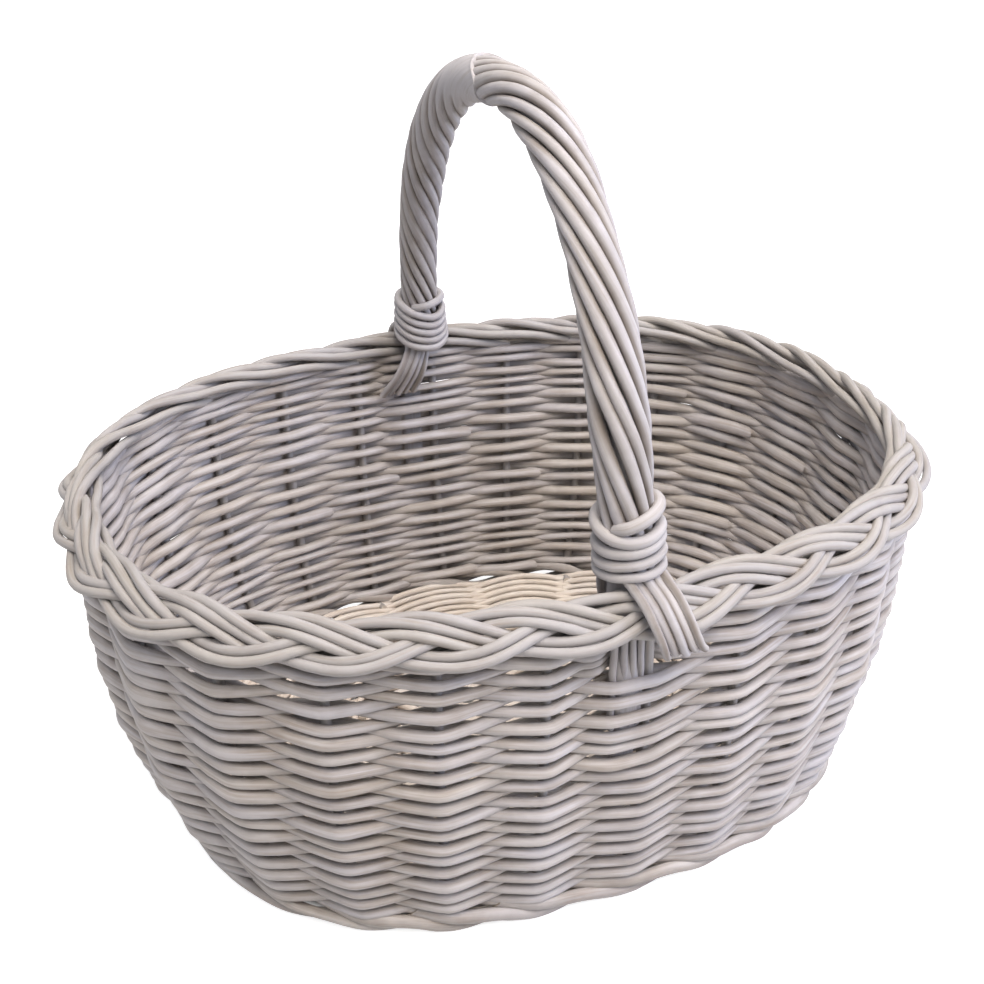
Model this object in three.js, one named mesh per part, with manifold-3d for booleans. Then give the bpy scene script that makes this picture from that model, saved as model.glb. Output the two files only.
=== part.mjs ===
// An oval willow shopping basket with a fixed roped handle over its short axis.
// Millimetres, +Z up. The origin is on the floor under the middle of the base,
// X runs along the basket and the handle stands in the YZ plane.
// Every rod is its own solid: the weavers pass in front of one stake and behind the next,
// and each stake turns over at the rim and becomes a rod of the plaited border.
import * as THREE from "three";
import { mergeVertices } from "three/addons/utils/BufferGeometryUtils.js";
import Module from "manifold-3d";

const wasm = await Module();
wasm.setup();

// Driving sizes

const seat = 0.3; // air left between rods that lie on each other

const rim = {
  halfLength: 215, // to the middle of the border
  halfWidth: 160,
  squareness: 2.34, // 2 is an ellipse, more is squarer
  height: 176, // of the middle of the border
  tilt: THREE.MathUtils.degToRad(40), // the border slopes down and outwards
  halfBand: 15.5, // half the border's breadth across its slope
  halfThick: 7.2,
  bulge: 4, // how far the border is pushed out where the handle passes it
  bulgeReach: 30,
};

const base = {
  halfLength: 172,
  halfWidth: 140,
  squareness: 2.58,
  edgeHeight: 7.8, // of the middle of the base sticks at the edge
  crown: 4, // how much higher they lie in the middle
  blockHalfLength: 64,
  blockHalfWidth: 30,
};

const side = {
  stakes: 25, // an odd count, so one weaver alternates by itself
  stakeRadius: 2.1,
  inset: 3.7, // the stakes rise this far inside the middle of the border
  flare: 2.8, // how fast the side leaves the base and stands up
  weaverHalfHeight: 3.05,
  weaverHalfDepth: 2.2,
  firstRow: 20,
  topGap: 15, // the last row runs this far under the middle of the border
  rootLength: 3.6,
  lowBends: [22, 48], // heights at which the stakes bend
  topBendGap: 14, // their last bend is this far under the middle of the border
};

const upsett = { radius: 2.7, highRow: 9.2, middleRow: 5.2, worn: 0.5 };

const plait = {
  radius: 2.3,
  strokes: 5, // half waves that each rod makes before it is cut
  unitsPerStroke: 1.5,
  swing: 10.5, // how far a strand swings to each side
  lift: 3, // how far it rises over the next one
  stations: 3, // points for each stake that the rod passes
};

const bow = {
  radius: 6.4,
  halfSpan: 147,
  springDrop: 5, // its arch springs this far under the middle of the border
  rise: 194,
  squareness: 2.24,
  footLift: 17.5, // the roped part starts this far over it
  bladeHalfWidth: 6,
  bladeHalfThick: 2.1,
  bladeTopDrop: 29, // the flat blade's full part and its tip, under it
  bladeTipDrop: 86,
  stakeGap: 10.4, // from the middle of the bow's foot to the stake beside it
};

const bowHeights = {
  spring: rim.height - bow.springDrop,
  foot: rim.height + bow.footLift,
  bladeTop: rim.height - bow.bladeTopDrop,
  bladeTip: rim.height - bow.bladeTipDrop,
};

const roping = {
  rods: 10,
  radius: 2.8,
  ring: 10,
  turns: 2.5,
  stations: 26,
  footPitch: 6.6,
  footLean: 16,
};

const binding = { radius: 2.5, turns: 4, pitch: 6.3 };

const baseSticks = {
  long: 3,
  longPitch: 13,
  cross: 5,
  crossPitch: 25,
  radius: 2.6,
  splitHalfHeight: 4.9, // a cross stick is thicker where it is slit
  splitHalfWidth: 3.4,
  endInset: 4.4, // they end this far inside the stakes
};

const baseWeave = { rows: 12, halfHeight: 2, halfWidth: 2.95, innerShare: 0.16, outerShare: 0.95 };

const willow = new THREE.MeshStandardMaterial({ color: 0xcdc8c2, roughness: 0.62, metalness: 0 });
const upAxis = new THREE.Vector3(0, 0, 1);

// Ovals

function signedPower(value, power) {
  return Math.sign(value) * Math.abs(value) ** power;
}

function ovalPoint(oval, angle) {
  const power = 2 / oval.squareness;
  return new THREE.Vector3(
    oval.halfLength * signedPower(Math.cos(angle), power),
    oval.halfWidth * signedPower(Math.sin(angle), power),
    0,
  );
}

function ovalNormal(oval, angle) {
  const power = 2 - 2 / oval.squareness;
  return new THREE.Vector3(
    signedPower(Math.cos(angle), power) / oval.halfLength,
    signedPower(Math.sin(angle), power) / oval.halfWidth,
    0,
  ).normalize();
}

// The way round an oval, so that pieces can be spaced by length.
function measureOval(oval, steps = 1440) {
  const lengths = [0];
  let last = ovalPoint(oval, 0);
  for (let i = 1; i <= steps; i++) {
    const next = ovalPoint(oval, (i / steps) * 2 * Math.PI);
    lengths.push(lengths[i - 1] + next.distanceTo(last));
    last = next;
  }
  const perimeter = lengths[steps];
  function angleAt(distance) {
    const laps = Math.floor(distance / perimeter);
    const rest = distance - laps * perimeter;
    let i = 1;
    while (i < steps && lengths[i] < rest) i++;
    const share = (rest - lengths[i - 1]) / (lengths[i] - lengths[i - 1]);
    return ((i - 1 + share) / steps + laps) * 2 * Math.PI;
  }
  return { perimeter, angleAt };
}

const rimWay = measureOval(rim);
const unit = rimWay.perimeter / side.stakes; // rim length for each stake
const nearHandle = rimWay.perimeter * 0.75; // where the handle meets the rim
const farHandle = rimWay.perimeter * 0.25;

// The side's own surface, through the middles of the stakes, straight from bend to bend

function flaredOval(z) {
  const rise = 1 - (1 - z / rim.height) ** side.flare;
  return {
    halfLength: THREE.MathUtils.lerp(base.halfLength, rim.halfLength - side.inset, rise),
    halfWidth: THREE.MathUtils.lerp(base.halfWidth, rim.halfWidth - side.inset, rise),
    squareness: THREE.MathUtils.lerp(base.squareness, rim.squareness, rise),
  };
}

const stakeBends = [...side.lowBends, bowHeights.bladeTip, rim.height - side.topBendGap];
const wallBends = [base.edgeHeight, ...stakeBends].map((z) => ({ z, oval: flaredOval(z) }));

function wallSpan(z) {
  const upper = Math.max(1, wallBends.findIndex((bend) => bend.z >= z));
  const [low, high] = [wallBends[upper - 1], wallBends[upper]];
  return { low, high, share: (z - low.z) / (high.z - low.z) };
}

function wallPoint(angle, z) {
  const { low, high, share } = wallSpan(z);
  return ovalPoint(low.oval, angle).lerp(ovalPoint(high.oval, angle), share).setZ(z);
}

function wallNormal(angle, z) {
  const { low, high } = wallSpan(z);
  const up = ovalPoint(high.oval, angle).sub(ovalPoint(low.oval, angle)).setZ(high.z - low.z);
  const along = wallPoint(angle + 0.01, z).sub(wallPoint(angle - 0.01, z));
  return along.cross(up).normalize();
}

function onWall(angle, z, out) {
  return wallPoint(angle, z).addScaledVector(wallNormal(angle, z), out);
}

// The border's cross-section: across runs down its outer slope, over stands off it

function handleBulge(distance) {
  const away = (place) => {
    const gap = Math.abs(distance - place) % rimWay.perimeter;
    return Math.min(gap, rimWay.perimeter - gap) / rim.bulgeReach;
  };
  return rim.bulge * (Math.exp(-(away(nearHandle) ** 2)) + Math.exp(-(away(farHandle) ** 2)));
}

function onBorder(distance, across, over) {
  const angle = rimWay.angleAt(distance);
  const normal = ovalNormal(rim, angle);
  const out = across * Math.cos(rim.tilt) + over * Math.sin(rim.tilt) + handleBulge(distance);
  const rise = over * Math.cos(rim.tilt) - across * Math.sin(rim.tilt);
  return ovalPoint(rim, angle).addScaledVector(normal, out).setZ(rim.height + rise);
}

function borderNormal(distance) {
  const normal = ovalNormal(rim, rimWay.angleAt(distance));
  return normal.multiplyScalar(Math.sin(rim.tilt)).addScaledVector(upAxis, Math.cos(rim.tilt));
}

// Rods

function diamond(halfOut, halfSide) {
  return [
    [halfOut, 0],
    [0, halfSide],
    [-halfOut, 0],
    [0, -halfSide],
  ];
}

function ring(radius, corners, turn = 0) {
  return Array.from({ length: corners }, (_, i) => {
    const angle = ((i + turn) / corners) * 2 * Math.PI;
    return [radius * Math.cos(angle), radius * Math.sin(angle)];
  });
}

// A solid rod through points. outs[i] is the way that a section's first axis faces there,
// and sections[i], or the one section, is its outline.
function rodGeometry(points, outs, section) {
  const positions = [];
  const index = [];
  const sectionAt = (i) => (typeof section === "function" ? section(i) : section);
  const corners = sectionAt(0).length;
  points.forEach((point, i) => {
    const before = points[Math.max(i - 1, 0)];
    const after = points[Math.min(i + 1, points.length - 1)];
    const towards = after.clone().sub(point).normalize();
    const from = point.clone().sub(before).normalize();
    const along = towards.add(from).normalize();
    const sideways = along.clone().cross(outs[i]).normalize();
    const out = sideways.clone().cross(along);
    for (const [u, v] of sectionAt(i)) {
      const corner = point.clone().addScaledVector(out, u).addScaledVector(sideways, v);
      positions.push(corner.x, corner.y, corner.z);
    }
  });
  for (let i = 0; i + 1 < points.length; i++) {
    for (let j = 0; j < corners; j++) {
      const a = i * corners + j;
      const b = i * corners + ((j + 1) % corners);
      index.push(a, b, b + corners, a, b + corners, a + corners);
    }
  }
  const end = (points.length - 1) * corners;
  for (let j = 1; j + 1 < corners; j++) {
    index.push(0, j + 1, j);
    index.push(end, end + j, end + j + 1);
  }
  const geometry = new THREE.BufferGeometry();
  geometry.setAttribute("position", new THREE.Float32BufferAttribute(positions, 3));
  geometry.setIndex(index);
  return geometry;
}

function solidOf(geometry) {
  const bare = geometry.clone();
  bare.deleteAttribute("normal");
  bare.deleteAttribute("uv");
  const merged = mergeVertices(bare, 1e-4);
  return new wasm.Manifold(
    new wasm.Mesh({
      numProp: 3,
      vertProperties: new Float32Array(merged.attributes.position.array),
      triVerts: new Uint32Array(merged.index.array),
    }),
  );
}

function geometryOf(solid) {
  const mesh = solid.getMesh();
  const geometry = new THREE.BufferGeometry();
  geometry.setAttribute("position", new THREE.BufferAttribute(new Float32Array(mesh.vertProperties), 3));
  geometry.setIndex(new THREE.BufferAttribute(new Uint32Array(mesh.triVerts), 1));
  return geometry;
}

// The stakes' places round the rim. The first one stands beside the handle's near foot.
const firstStake = nearHandle + bow.stakeGap;
const stakePlaces = Array.from({ length: side.stakes }, (_, i) => firstStake + i * unit);
const bladeReach = bow.bladeHalfWidth + 1;

// What a weaver passes at each stake: one turning point, or two where the bow's foot stands beside it.
const posts = stakePlaces.map((place) => {
  const feet = [nearHandle, nearHandle + rimWay.perimeter, farHandle + rimWay.perimeter];
  const foot = feet.find((f) => Math.abs(f - place) < unit * 0.45);
  if (foot === undefined) return { turns: [rimWay.angleAt(place)], foot: false };
  const edge = foot < place ? foot - bladeReach : foot + bladeReach;
  const turns = [place, edge].sort((a, b) => a - b).map(rimWay.angleAt);
  return { turns, foot: true };
});

// The border rod's shape along a straight border, by pushing it off its own copies.
// Every stake's rod follows the same path one unit after its neighbour's.

function loosePlait(stations) {
  const count = Math.round(plait.strokes * plait.unitsPerStroke * stations);
  const wave = 2 * plait.unitsPerStroke * unit;
  const spacing = 2 * plait.radius + seat / 2;
  return Array.from({ length: count + 1 }, (_, i) => {
    const along = (i / stations) * unit;
    const phase = (2 * Math.PI * along) / wave;
    const rank = phase / (2 * Math.PI) - plait.strokes / 4;
    return {
      along,
      across: -plait.swing * Math.cos(phase) + spacing * rank,
      over: plait.lift * Math.sin(2 * phase),
    };
  });
}

function tightenPlait(rod, { rounds, air, stiffness, samples, squeeze, gain }) {
  const reach = 2 * plait.radius + air;
  const last = rod.length - 1;
  const spots = [];
  for (let i = 0; i < last; i++) {
    for (let j = 0; j < samples; j++) spots.push({ index: i, share: j / samples });
  }
  spots.push({ index: last - 1, share: 1 });
  const alongOf = (s) => THREE.MathUtils.lerp(rod[s.index].along, rod[s.index + 1].along, s.share);
  const alongs = spots.map(alongOf);
  const pairs = [];
  const copies = Math.ceil(plait.strokes * plait.unitsPerStroke);
  for (let copy = 1; copy < copies; copy++) {
    alongs.forEach((a, i) => {
      alongs.forEach((b, j) => {
        const gap = a - b - copy * unit;
        if (Math.abs(gap) < reach) pairs.push([i, j, gap]);
      });
    });
  }
  const at = (spot, key) => THREE.MathUtils.lerp(rod[spot.index][key], rod[spot.index + 1][key], spot.share);
  for (let round = 0; round < rounds; round++) {
    const fade = 1 - round / rounds;
    const across = spots.map((s) => at(s, "across"));
    const over = spots.map((s) => at(s, "over"));
    const push = spots.map(() => [0, 0, 0]);
    for (const [i, j, gap] of pairs) {
      const dx = across[i] - across[j];
      const dy = over[i] - over[j];
      const flat = Math.hypot(dx, dy) + 1e-6;
      const overlap = reach - Math.hypot(flat, gap);
      if (overlap <= 0) continue;
      const step = (0.5 * overlap) / flat;
      push[i][0] += dx * step;
      push[i][1] += dy * step;
      push[i][2] += 1;
      push[j][0] -= dx * step;
      push[j][1] -= dy * step;
      push[j][2] += 1;
    }
    const moves = rod.map(() => [0, 0, 0]);
    spots.forEach((spot, i) => {
      const shares = [
        [spot.index, 1 - spot.share],
        [spot.index + 1, spot.share],
      ];
      for (const [k, weight] of shares) {
        moves[k][0] += (weight * push[i][0]) / Math.max(push[i][2], 1);
        moves[k][1] += (weight * push[i][1]) / Math.max(push[i][2], 1);
        moves[k][2] += weight;
      }
    });
    const before = rod.map(({ across, over }) => ({ across, over }));
    rod.forEach((point, k) => {
      point.across += (2 * gain * moves[k][0]) / moves[k][2];
      point.over += (2 * gain * moves[k][1]) / moves[k][2];
      if (k > 0 && k < last) {
        const bend = stiffness * fade;
        point.across += 0.35 * bend * ((before[k - 1].across + before[k + 1].across) / 2 - before[k].across);
        point.over += bend * ((before[k - 1].over + before[k + 1].over) / 2 - before[k].over);
      }
      const a = point.across / (rim.halfBand - plait.radius);
      const b = point.over / (rim.halfThick - plait.radius);
      const outside = Math.hypot(a, b);
      if (outside > 1) {
        const pull = squeeze * fade * (1 - 1 / outside);
        point.across *= 1 - pull;
        point.over *= 1 - pull;
      }
    });
  }
  return rod;
}

const borderRod = (() => {
  const fine = loosePlait(2 * plait.stations);
  tightenPlait(fine, { rounds: 400, air: seat / 2, stiffness: 0.06, samples: 2, squeeze: 0.25, gain: 0.9 });
  const coarse = fine.filter((_, i) => i % 2 === 0);
  return tightenPlait(coarse, { rounds: 300, air: seat, stiffness: 0, samples: 5, squeeze: 0.05, gain: 0.5 });
})();

// A stake: its root in the base, up the side, over at the rim and along the plait to its cut end.
function stakeGeometry(place) {
  const angle = rimWay.angleAt(place);
  const bend = wallPoint(angle, base.edgeHeight);
  const outward = ovalNormal(flaredOval(base.edgeHeight), angle);
  const points = [bend.clone().addScaledVector(outward, -side.rootLength), bend];
  const outs = [upAxis.clone().negate(), outward.clone().sub(upAxis)];
  for (const z of stakeBends) {
    points.push(wallPoint(angle, z));
    outs.push(wallNormal(angle, z));
  }
  const lead = unit / plait.stations;
  for (const { along, across, over } of borderRod) {
    points.push(onBorder(place + lead + along, across, over));
    outs.push(borderNormal(place + lead + along));
  }
  const inBorder = stakeBends.length + 2;
  const upright = diamond(side.stakeRadius, side.stakeRadius);
  const plaited = diamond(plait.radius, plait.radius);
  return rodGeometry(points, outs, (i) => (i < inBorder ? upright : plaited));
}

// The siding: one weaver that winds up the side
function sidingGeometry() {
  const offset = side.stakeRadius + side.weaverHalfDepth + seat;
  const lastRow = rim.height - side.topGap;
  const rows = Math.floor((lastRow - side.firstRow) / (2 * side.weaverHalfHeight + seat));
  const points = [];
  const outs = [];
  const count = rows * side.stakes;
  for (let k = 0; k <= count; k++) {
    const post = posts[k % side.stakes];
    const lap = Math.floor(k / side.stakes);
    const z = THREE.MathUtils.lerp(side.firstRow, lastRow, k / count);
    const inFront = k % 2 === 1 || (post.foot && z > bowHeights.bladeTop - 2 * side.weaverHalfHeight);
    for (const turn of post.turns) {
      const angle = turn + 2 * Math.PI * lap;
      points.push(onWall(angle, z, inFront ? offset : -offset));
      outs.push(wallNormal(angle, z));
    }
  }
  return rodGeometry(points, outs, diamond(side.weaverHalfDepth, side.weaverHalfHeight));
}

// The upsett: a three-rod wale that sets the stakes up. Each rod passes in front of two stakes
// and behind one, and is worn flat where it stands on the floor.
function upsettGeometry(rodNumber) {
  const away = side.stakeRadius + upsett.radius + seat;
  const flatHalf = upsett.radius * Math.cos(Math.PI / 4);
  const behindZ = base.edgeHeight + baseSticks.radius + flatHalf + seat;
  const lowRow = flatHalf - upsett.worn;
  const cycle = [
    { out: away, z: upsett.highRow },
    { out: away + flatHalf / 2, z: upsett.middleRow },
    { out: away, z: lowRow },
    { out: 0, z: lowRow },
    { out: -away, z: behindZ },
    { out: 0, z: behindZ + flatHalf / 2 },
  ];
  const points = [];
  const outs = [];
  const steps = side.stakes * 2;
  const buttGap = 4;
  for (let k = 0; k <= steps; k++) {
    const place = firstStake + (k / 2) * unit - (k === steps ? buttGap : 0);
    const angle = rimWay.angleAt(place);
    const { out, z } = cycle[(k + 2 * rodNumber) % cycle.length];
    const lean = wallNormal(angle, Math.max(z, base.edgeHeight + seat)).setZ(0).length();
    const outward = ovalNormal(flaredOval(z), angle);
    points.push(ovalPoint(flaredOval(z), angle).addScaledVector(outward, out / lean).setZ(z));
    outs.push(outward);
  }
  const rod = rodGeometry(points, outs, ring(upsett.radius, 4, 0.5));
  const corners = rod.getAttribute("position");
  for (let i = 0; i < corners.count; i++) corners.setZ(i, Math.max(corners.getZ(i), 0));
  return rod;
}

// The base: long sticks through slit cross sticks, opened out like rays, and woven round

const baseRim = {
  halfLength: base.halfLength - baseSticks.endInset,
  halfWidth: base.halfWidth - baseSticks.endInset,
  squareness: base.squareness,
};
const spokes = 2 * (baseSticks.long + baseSticks.cross);
const baseRimWay = measureOval(baseRim);
const blockOval = { halfLength: base.blockHalfLength, halfWidth: base.blockHalfWidth, squareness: 2.2 };

function baseOval(share) {
  return {
    halfLength: THREE.MathUtils.lerp(blockOval.halfLength, baseRim.halfLength, share),
    halfWidth: THREE.MathUtils.lerp(blockOval.halfWidth, baseRim.halfWidth, share),
    squareness: THREE.MathUtils.lerp(blockOval.squareness, baseRim.squareness, share),
  };
}

function baseHeight(share) {
  return base.edgeHeight + base.crown * (1 - share * share);
}

// Each spoke's angle at the block, counted from the end of the middle long stick.
function blockAngle(spoke) {
  const quarter = spokes / 4;
  const q = spoke % spokes;
  const mirrored = q > 2 * quarter ? spokes - q : q;
  const first = mirrored > quarter ? 2 * quarter - mirrored : mirrored;
  const longSide = (baseSticks.long - 1) / 2;
  const power = blockOval.squareness / 2;
  let angle;
  if (first <= longSide) {
    angle = Math.asin(((first * baseSticks.longPitch) / blockOval.halfWidth) ** power);
  } else {
    angle = Math.acos((((quarter - first) * baseSticks.crossPitch) / blockOval.halfLength) ** power);
  }
  if (mirrored > quarter) angle = Math.PI - angle;
  return q > 2 * quarter ? 2 * Math.PI - angle : angle;
}

function bentSpoke(spoke, share) {
  const outer = baseRimWay.angleAt((spoke / spokes) * baseRimWay.perimeter);
  const angle = THREE.MathUtils.lerp(blockAngle(spoke), outer, share);
  return ovalPoint(baseOval(share), angle).setZ(baseHeight(share));
}

const spokeBends = [0, 0.5, 1];

function spokePoint(spoke, share) {
  const upper = Math.max(1, spokeBends.findIndex((bend) => bend >= share));
  const [low, high] = [spokeBends[upper - 1], spokeBends[upper]];
  return bentSpoke(spoke, low).lerp(bentSpoke(spoke, high), (share - low) / (high - low));
}

function stickPoints(from, to) {
  const first = spokeBends.map((share) => spokePoint(from, share)).reverse();
  const second = spokeBends.map((share) => spokePoint(to, share));
  return { first, second };
}

function longStickGeometry(number) {
  const spoke = number - (baseSticks.long - 1) / 2;
  const half = spokes / 2;
  const { first, second } = stickPoints((spoke + spokes) % spokes, half - spoke);
  const points = [...first, ...second];
  return rodGeometry(points, points.map(() => upAxis), ring(baseSticks.radius, 6));
}

function crossStickGeometry(number) {
  const quarter = spokes / 4;
  const spoke = quarter + ((baseSticks.cross - 1) / 2 - number);
  const { first, second } = stickPoints(spoke, spokes - spoke);
  const x = first[2].x;
  const middle = baseHeight(0);
  const slitHalf = ((baseSticks.long - 1) / 2) * baseSticks.longPitch + baseSticks.radius + 2 * seat;
  const bulged = [slitHalf + 2, -slitHalf - 2].map((y) => new THREE.Vector3(x, y, middle));
  const points = [...first, ...bulged, ...second];
  const thin = ring(baseSticks.radius, 6);
  const thick = thin.map(([u, v]) => [
    (u / baseSticks.radius) * baseSticks.splitHalfHeight,
    (v / baseSticks.radius) * baseSticks.splitHalfWidth,
  ]);
  const fat = (i) => i === first.length || i === first.length + 1;
  const stick = rodGeometry(points, points.map(() => upAxis), (i) => (fat(i) ? thick : thin));
  const slit = new THREE.BoxGeometry(20, 2 * slitHalf, 2 * (baseSticks.radius + seat));
  slit.translate(x, 0, middle);
  return geometryOf(solidOf(stick).subtract(solidOf(slit)));
}

function baseWeaverGeometry(number) {
  const offset = baseSticks.radius + baseWeave.halfHeight + seat;
  const points = [];
  const laps = baseWeave.rows / 2;
  for (let k = 0; k < laps * spokes; k++) {
    const row = number + (2 * k) / spokes;
    const share = THREE.MathUtils.lerp(baseWeave.innerShare, baseWeave.outerShare, row / (baseWeave.rows + 1));
    const point = spokePoint(k % spokes, share);
    point.z += (k + number) % 2 ? offset : -offset;
    points.push(point);
  }
  const section = diamond(baseWeave.halfHeight, baseWeave.halfWidth);
  return rodGeometry(points, points.map(() => upAxis), section);
}

// The handle's arch

class Arch extends THREE.Curve {
  getPoint(t) {
    const power = 2 / bow.squareness;
    const spring = Math.asin(((bowHeights.foot - bowHeights.spring) / bow.rise) ** (bow.squareness / 2));
    const angle = THREE.MathUtils.lerp(spring, Math.PI - spring, t);
    return new THREE.Vector3(
      0,
      -bow.halfSpan * signedPower(Math.cos(angle), power),
      bowHeights.spring + bow.rise * signedPower(Math.sin(angle), power),
    );
  }
}

const arch = new Arch();
arch.arcLengthDivisions = 800;
const wayX = new THREE.Vector3(1, 0, 0);

function archOut(t) {
  return wayX.clone().cross(arch.getTangentAt(t)).normalize();
}

// How far in the border's inner face lies from its middle, and how high its top stands.
const borderInner = Math.hypot(rim.halfBand * Math.cos(rim.tilt), rim.halfThick * Math.sin(rim.tilt));
const borderTop = Math.hypot(rim.halfBand * Math.sin(rim.tilt), rim.halfThick * Math.cos(rim.tilt));
const innerFace = rim.halfWidth + rim.bulge - borderInner;

// The bow: a stout rod whose ends are cut to a flat blade and pushed down beside a stake.
const bowFoot = (() => {
  const wallY = (z) => wallPoint(Math.PI / 2, z).y;
  const shoulder = { z: rim.height + borderTop, thick: 5.2 };
  const neck = { z: rim.height - 6, thick: 4.6 };
  return [
    { y: wallY(bowHeights.bladeTip), z: bowHeights.bladeTip, thick: bow.bladeHalfThick * 0.6 },
    { y: wallY(bowHeights.bladeTop), z: bowHeights.bladeTop, thick: bow.bladeHalfThick },
    ...[neck, shoulder].map(({ z, thick }) => ({ y: innerFace - thick - seat, z, thick })),
  ];
})();

function bowGeometry() {
  const points = [];
  const outs = [];
  const sizes = [];
  const place = (mirror) => (p) => {
    points.push(new THREE.Vector3(0, mirror * p.y, p.z));
    outs.push(new THREE.Vector3(0, mirror, 0));
    sizes.push([p.thick, bow.bladeHalfWidth]);
  };
  bowFoot.forEach(place(-1));
  for (let i = 0; i <= roping.stations; i++) {
    const t = i / roping.stations;
    points.push(arch.getPointAt(t));
    outs.push(archOut(t));
    sizes.push([bow.radius, bow.radius]);
  }
  [...bowFoot].reverse().forEach(place(1));
  const outline = ring(1, 8, 0.5);
  return rodGeometry(points, outs, (i) => outline.map(([u, v]) => [u * sizes[i][0], v * sizes[i][1]]));
}

// The handle's feet lean to the basket's right at the near side and to its left at the far side.
function footX(mirror, slot, share) {
  return slot * roping.footPitch - mirror * share * roping.footLean;
}

// Over the border, from the handle's outer face down to the tuck under its outer edge
function footOver(mirror, slot) {
  const clear = roping.radius + 2 * seat;
  const stops = [125, 85, 50, 15, -20, -45];
  return stops.map((degrees, i) => {
    const angle = THREE.MathUtils.degToRad(degrees);
    const across = (rim.halfBand + clear) * Math.cos(angle);
    const over = (rim.halfThick + clear) * Math.sin(angle);
    const out = across * Math.cos(rim.tilt) + over * Math.sin(rim.tilt);
    const rise = over * Math.cos(rim.tilt) - across * Math.sin(rim.tilt);
    const x = footX(mirror, slot, i / (stops.length - 1));
    const facing = new THREE.Vector3(0, mirror * Math.cos(angle - rim.tilt), Math.sin(angle - rim.tilt));
    return { point: new THREE.Vector3(x, mirror * (rim.halfWidth + rim.bulge + out), rim.height + rise), facing };
  });
}

// Inside the border, down the bow's inner face
function footInside(mirror, slot) {
  const against = roping.radius + 2 * seat;
  const [, blade, neck, shoulder] = bowFoot;
  const stops = [
    { y: shoulder.y - shoulder.thick - against, z: shoulder.z - 4 },
    { y: neck.y - neck.thick - against, z: neck.z },
    { y: blade.y - blade.thick - against - 4 * seat, z: blade.z },
  ];
  return stops.map(({ y, z }) => {
    const x = footX(mirror, slot, (bowHeights.foot - z) / (bowHeights.foot - blade.z));
    return { point: new THREE.Vector3(x, mirror * y, z), facing: new THREE.Vector3(0, -mirror, 0) };
  });
}

// Half of the rods leave the bow on its outer side and go over the border, the rest inside it.
function ropingFoot(mirror, angle) {
  const step = (2 * Math.PI) / roping.rods;
  const turned = Math.atan2(Math.sin(angle), Math.cos(angle));
  if (Math.cos(turned) > 0) return footOver(mirror, turned / step);
  const fromMiddle = Math.atan2(-Math.sin(turned), -Math.cos(turned));
  return footInside(mirror, -fromMiddle / step);
}

// A roping rod: from under the border, round the bow and down to the other foot
function ropingGeometry(number) {
  const startAngle = (number / roping.rods) * 2 * Math.PI;
  const stops = [];
  for (let i = 0; i <= roping.stations; i++) {
    const t = i / roping.stations;
    const angle = startAngle - 2 * Math.PI * roping.turns * t;
    const out = archOut(t);
    const sideways = arch.getTangentAt(t).cross(out);
    const facing = out.multiplyScalar(Math.cos(angle)).addScaledVector(sideways, Math.sin(angle));
    stops.push({ point: arch.getPointAt(t).addScaledVector(facing, roping.ring), facing });
  }
  stops.unshift(...ropingFoot(-1, startAngle).reverse());
  stops.push(...ropingFoot(1, startAngle - 2 * Math.PI * roping.turns));
  const points = stops.map(({ point }) => point);
  const outs = stops.map(({ facing }) => facing);
  return rodGeometry(points, outs, diamond(roping.radius, roping.radius));
}

// The bindings: a rod wound round each foot of the handle

const bindingStart = rim.height + borderTop + 2 * roping.radius + binding.radius + 3 * seat;

function bindingPoints(mirror) {
  const stepsInTurn = 24;
  const ringRadius = roping.ring + roping.radius + binding.radius + seat;
  const steps = binding.turns * stepsInTurn;
  const centreAt = (z) => {
    let low = 0;
    let high = 0.5;
    for (let i = 0; i < 40; i++) {
      const middle = (low + high) / 2;
      if (arch.getPointAt(middle).z < z) low = middle;
      else high = middle;
    }
    return arch.getPointAt(low).y;
  };
  const points = [];
  for (let i = 0; i <= steps; i++) {
    const angle = (i / stepsInTurn) * 2 * Math.PI;
    const z = bindingStart + (i / stepsInTurn) * binding.pitch;
    points.push(
      new THREE.Vector3(
        -mirror * ringRadius * Math.sin(angle),
        mirror * (Math.abs(centreAt(z)) + ringRadius * Math.cos(angle)),
        z,
      ),
    );
  }
  const straight = (end, next) => end.clone().addScaledVector(end.clone().sub(next).normalize(), 2 * binding.radius);
  points.unshift(straight(points[0], points[1]));
  points.push(straight(points[points.length - 1], points[points.length - 2]));
  return points;
}

// The least air between turns, measured on points that are at least half a turn apart.
function leastGap(points, radius) {
  let least = Infinity;
  points.forEach((a, i) => {
    for (let j = i + 12; j < points.length; j++) least = Math.min(least, a.distanceTo(points[j]));
  });
  return least - 2 * radius;
}

function bindingGeometry(mirror) {
  const points = bindingPoints(mirror);
  const gap = leastGap(points, binding.radius);
  console.log(`handle binding: least gap between turns ${gap.toFixed(2)} mm`);
  return rodGeometry(points, points.map(() => upAxis), ring(binding.radius, 6));
}

// The assembly

const basket = new THREE.Group();

function addPiece(name, geometry) {
  const mesh = new THREE.Mesh(geometry, willow);
  mesh.name = name;
  basket.add(mesh);
}

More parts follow.
